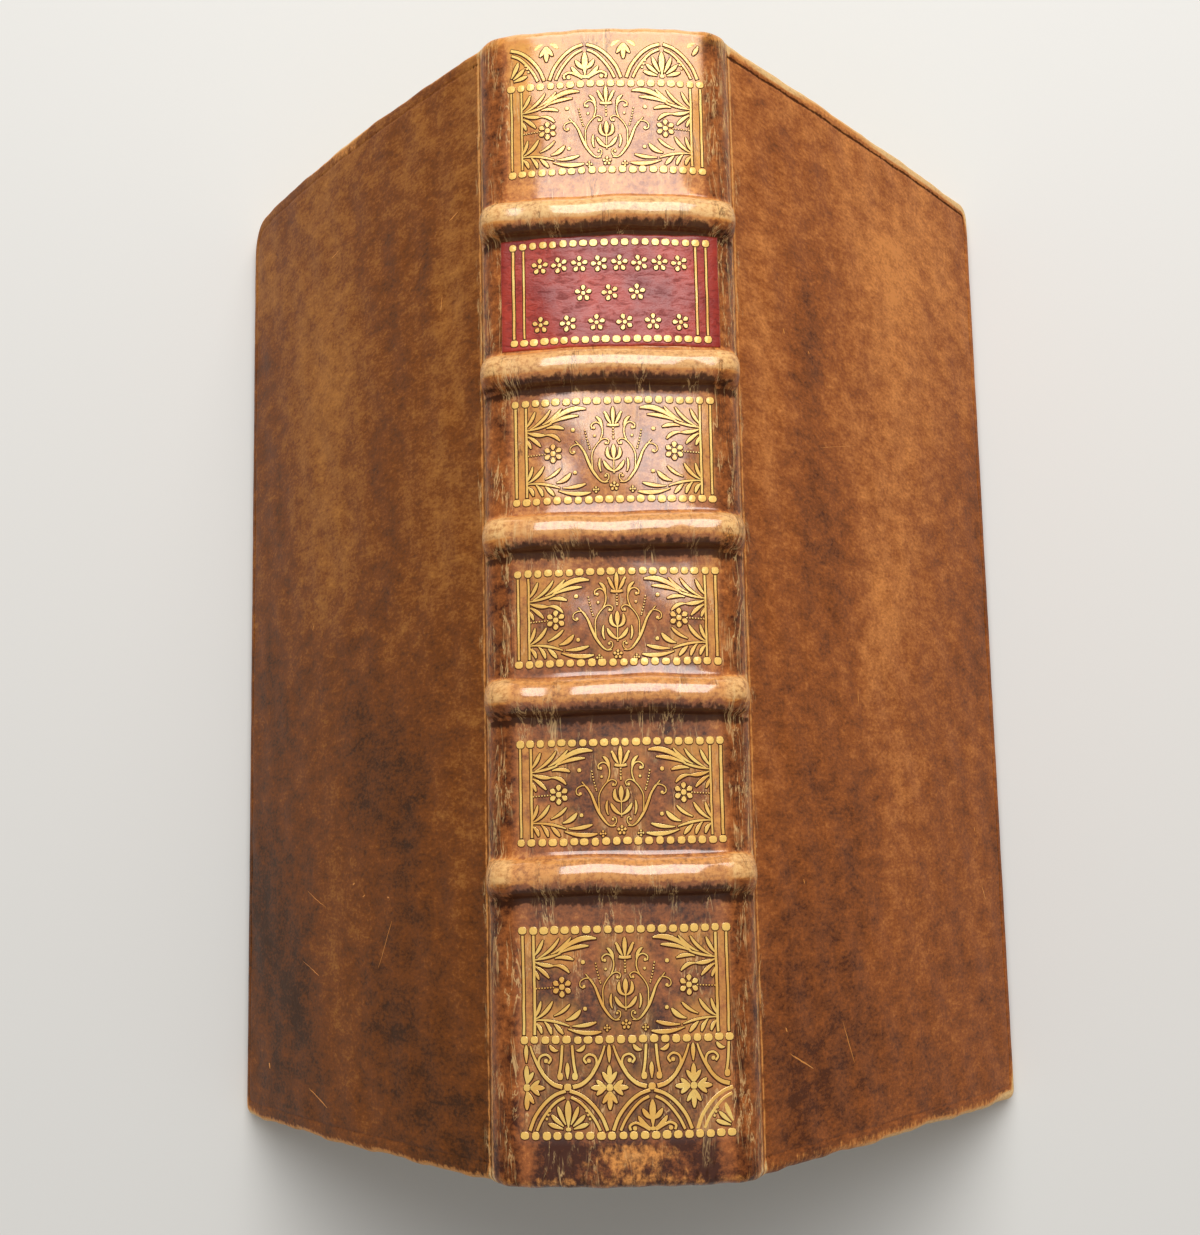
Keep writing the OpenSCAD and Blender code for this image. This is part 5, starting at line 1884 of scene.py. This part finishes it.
class BOOK_OT_hidden_work(bpy.types.Operator):
    """Finishes of the boards, cords, linings, endbands and papers that the model has"""

    bl_idname = "book.hidden_work"
    bl_label = "Boards, cords and papers"

    def execute(self, context):
        c = context.scene.book_papers
        materials = {
            "board": fibre_material("Pasteboard", c.board, FIBRE_SHADE, 700, 0.8, 0.1 * MM),
            "cord": fibre_material("Hemp", c.hemp, FIBRE_SHADE, 1500, 0.75, 0.15 * MM),
            "slips": fibre_material("Frayed hemp", c.hemp, FIBRE_SHADE, 1800, 0.8, 0.12 * MM),
            "lining": fibre_material("Parchment", c.parchment, c.leaf_edge, 500, 0.5, 0.04 * MM),
            "band": silk_material(),
            "paper": marbled_material("Marbled paper"),
        }
        wanted = {"head_band": "band", "tail_band": "band"}
        for side in SIDES:
            wanted[f"{side}_board"] = "board"
            wanted[f"{side}_lacing_slips"] = "slips"
            wanted[f"{side}_pastedown"] = wanted[f"{side}_endpaper"] = "paper"
        wanted.update({f"sewing_cord_{i}": "cord" for i in range(1, 6)})
        wanted.update({f"spine_lining_{i}": "lining" for i in range(1, 7)})
        for node, kind in wanted.items():
            mesh = frame["nodes"][node].data
            mesh.materials.clear()
            mesh.materials.append(materials[kind])
        return {"FINISHED"}


class BOOK_OT_joint_papers(bpy.types.Operator):
    """Folds of marbled paper between each board and the endpaper"""

    bl_idname = "book.joint_papers"
    bl_label = "Joint papers"

    # From the joint and below the leather's face: up from the board and down to the endpaper
    FOLD = np.array([
        (1.6, -3.84), (1.3, -3.8), (1.22, -3.0), (1.1, -2.0), (1.0, -1.3), (0.95, -1.05),
        (0.88, -0.96), (0.8, -1.05), (0.74, -1.4), (0.66, -2.2), (0.56, -3.2), (0.48, -4.2),
    ])
    BLEND = (0.55, 1.25)

    def execute(self, context):
        shape = BookShape()
        material = marbled_material("Marbled joint paper")
        for name, side in SIDES.items():
            low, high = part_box(f"{name}_pastedown")
            along = np.linspace(low.y, high.y, 60)
            across = side * (shape.joint_reach + self.FOLD[:, 0] * MM)
            points = shape.place(across[None, :], along[:, None], self.FOLD[None, :, 1] * MM)
            faces = grid_faces(len(along), len(self.FOLD), flip=side > 0)
            piece = add_piece(f"{name}_joint_paper", points.reshape(-1, 3), faces)
            finish_piece(piece, material, None, "marbled_paper", skin=0.12 * MM)
            start, end = (
                shape.place(side * (shape.joint_reach + u * MM), 0, 0) for u in self.BLEND
            )
            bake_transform(piece)
        return {"FINISHED"}


# Height above the floor that the lamp points at, in metres
LAMP_AIM = 0.06


class BOOK_OT_stage(bpy.types.Operator):
    """Pale floor, soft light and the camera"""

    bl_idname = "book.stage"
    bl_label = "Stage"

    def execute(self, context):
        scene = context.scene
        settings = scene.book_stage
        self.floor(settings)
        self.lamp(settings)
        self.sky(scene, settings)
        self.camera(scene, settings)
        scene.view_settings.view_transform = "Standard"
        return {"FINISHED"}

    @staticmethod
    def floor(settings):
        reach = settings.floor_reach
        corners = [(-reach, -reach, 0), (reach, -reach, 0), (reach, reach, 0), (-reach, reach, 0)]
        floor = add_piece("floor", corners, [(0, 1, 2, 3)])
        floor.data.materials.append(new_material("Pale floor").finish({
            "Base Color": settings.floor, "Roughness": 0.9, "Specular IOR Level": 0.1,
        }))

    @staticmethod
    def lamp(settings):
        light = bpy.data.lights.new("Soft lamp", "AREA")
        light.shape = "RECTANGLE"
        light.size = settings.lamp_width
        light.size_y = settings.lamp_height
        light.energy = settings.lamp_power
        lamp = bpy.data.objects.new("Soft lamp", light)
        bpy.context.scene.collection.objects.link(lamp)
        aim = Vector((0, 0, LAMP_AIM))
        away = Vector((
            math.tan(settings.lamp_turn),
            math.sin(settings.lamp_tilt),
            math.cos(settings.lamp_tilt),
        )).normalized()
        lamp.location = aim + away * settings.lamp_distance
        lamp.rotation_euler = away.to_track_quat("Z", "Y").to_euler()

    @staticmethod
    def sky(scene, settings):
        world = bpy.data.worlds.new("Even light")
        scene.world = world
        world.use_nodes = True
        background = world.node_tree.nodes["Background"]
        background.inputs["Color"].default_value = (1, 1, 1, 1)
        background.inputs["Strength"].default_value = settings.sky

    @staticmethod
    def camera(scene, settings):
        data = bpy.data.cameras.new("Camera")
        data.sensor_width = 36
        data.sensor_fit = "HORIZONTAL"
        data.lens = settings.lens
        data.shift_y = settings.shift
        data.clip_start = 0.01
        camera = bpy.data.objects.new("Camera", data)
        scene.collection.objects.link(camera)
        shape = BookShape()
        camera.location = (
            settings.camera_x, settings.camera_y, shape.joint_z + settings.camera_height
        )
        turn = (
            Matrix.Rotation(settings.camera_roll, 3, "Z")
            @ Matrix.Rotation(-settings.camera_yaw, 3, "Y")
            @ Matrix.Rotation(-settings.camera_pitch, 3, "X")
        )
        camera.rotation_euler = turn.transposed().to_euler()
        scene.camera = camera


class BOOK_PT_panel(bpy.types.Panel):
    """Sizes, colours and steps of the book"""

    bl_label = "Book"
    bl_idname = "BOOK_PT_panel"
    bl_space_type = "VIEW_3D"
    bl_region_type = "UI"
    bl_category = "Book"

    def draw(self, context):
        for operator in STEPS:
            self.layout.operator(operator.bl_idname)
        for name in SETTINGS:
            box = self.layout.box()
            settings = getattr(context.scene, name)
            for key in settings.bl_rna.properties.keys():
                if key not in ("rna_type", "name"):
                    box.prop(settings, key)


SETTINGS = {
    "book_binding": BindingSizes,
    "book_tooling": ToolingSizes,
    "book_leaves": LeafSizes,
    "book_calf": CalfColours,
    "book_papers": PaperColours,
    "book_stage": StageSettings,
}
STEPS = [
    BOOK_OT_stage,
    BOOK_OT_spine_leather,
    BOOK_OT_cover_leather,
    BOOK_OT_scuffs,
    BOOK_OT_title_label,
    BOOK_OT_gold_tooling,
    BOOK_OT_leaves,
    BOOK_OT_joint_papers,
    BOOK_OT_hidden_work,
]


def register():
    for name, group in SETTINGS.items():
        bpy.utils.register_class(group)
        setattr(bpy.types.Scene, name, bpy.props.PointerProperty(type=group))
    for operator in STEPS:
        bpy.utils.register_class(operator)
    bpy.utils.register_class(BOOK_PT_panel)


def unregister():
    bpy.utils.unregister_class(BOOK_PT_panel)
    for operator in reversed(STEPS):
        bpy.utils.unregister_class(operator)
    for name, group in reversed(SETTINGS.items()):
        delattr(bpy.types.Scene, name)
        bpy.utils.unregister_class(group)


def main():
    register()
    for operator in STEPS:
        area, name = operator.bl_idname.split(".")
        getattr(getattr(bpy.ops, area), name)()


if __name__ == "__main__":
    main()
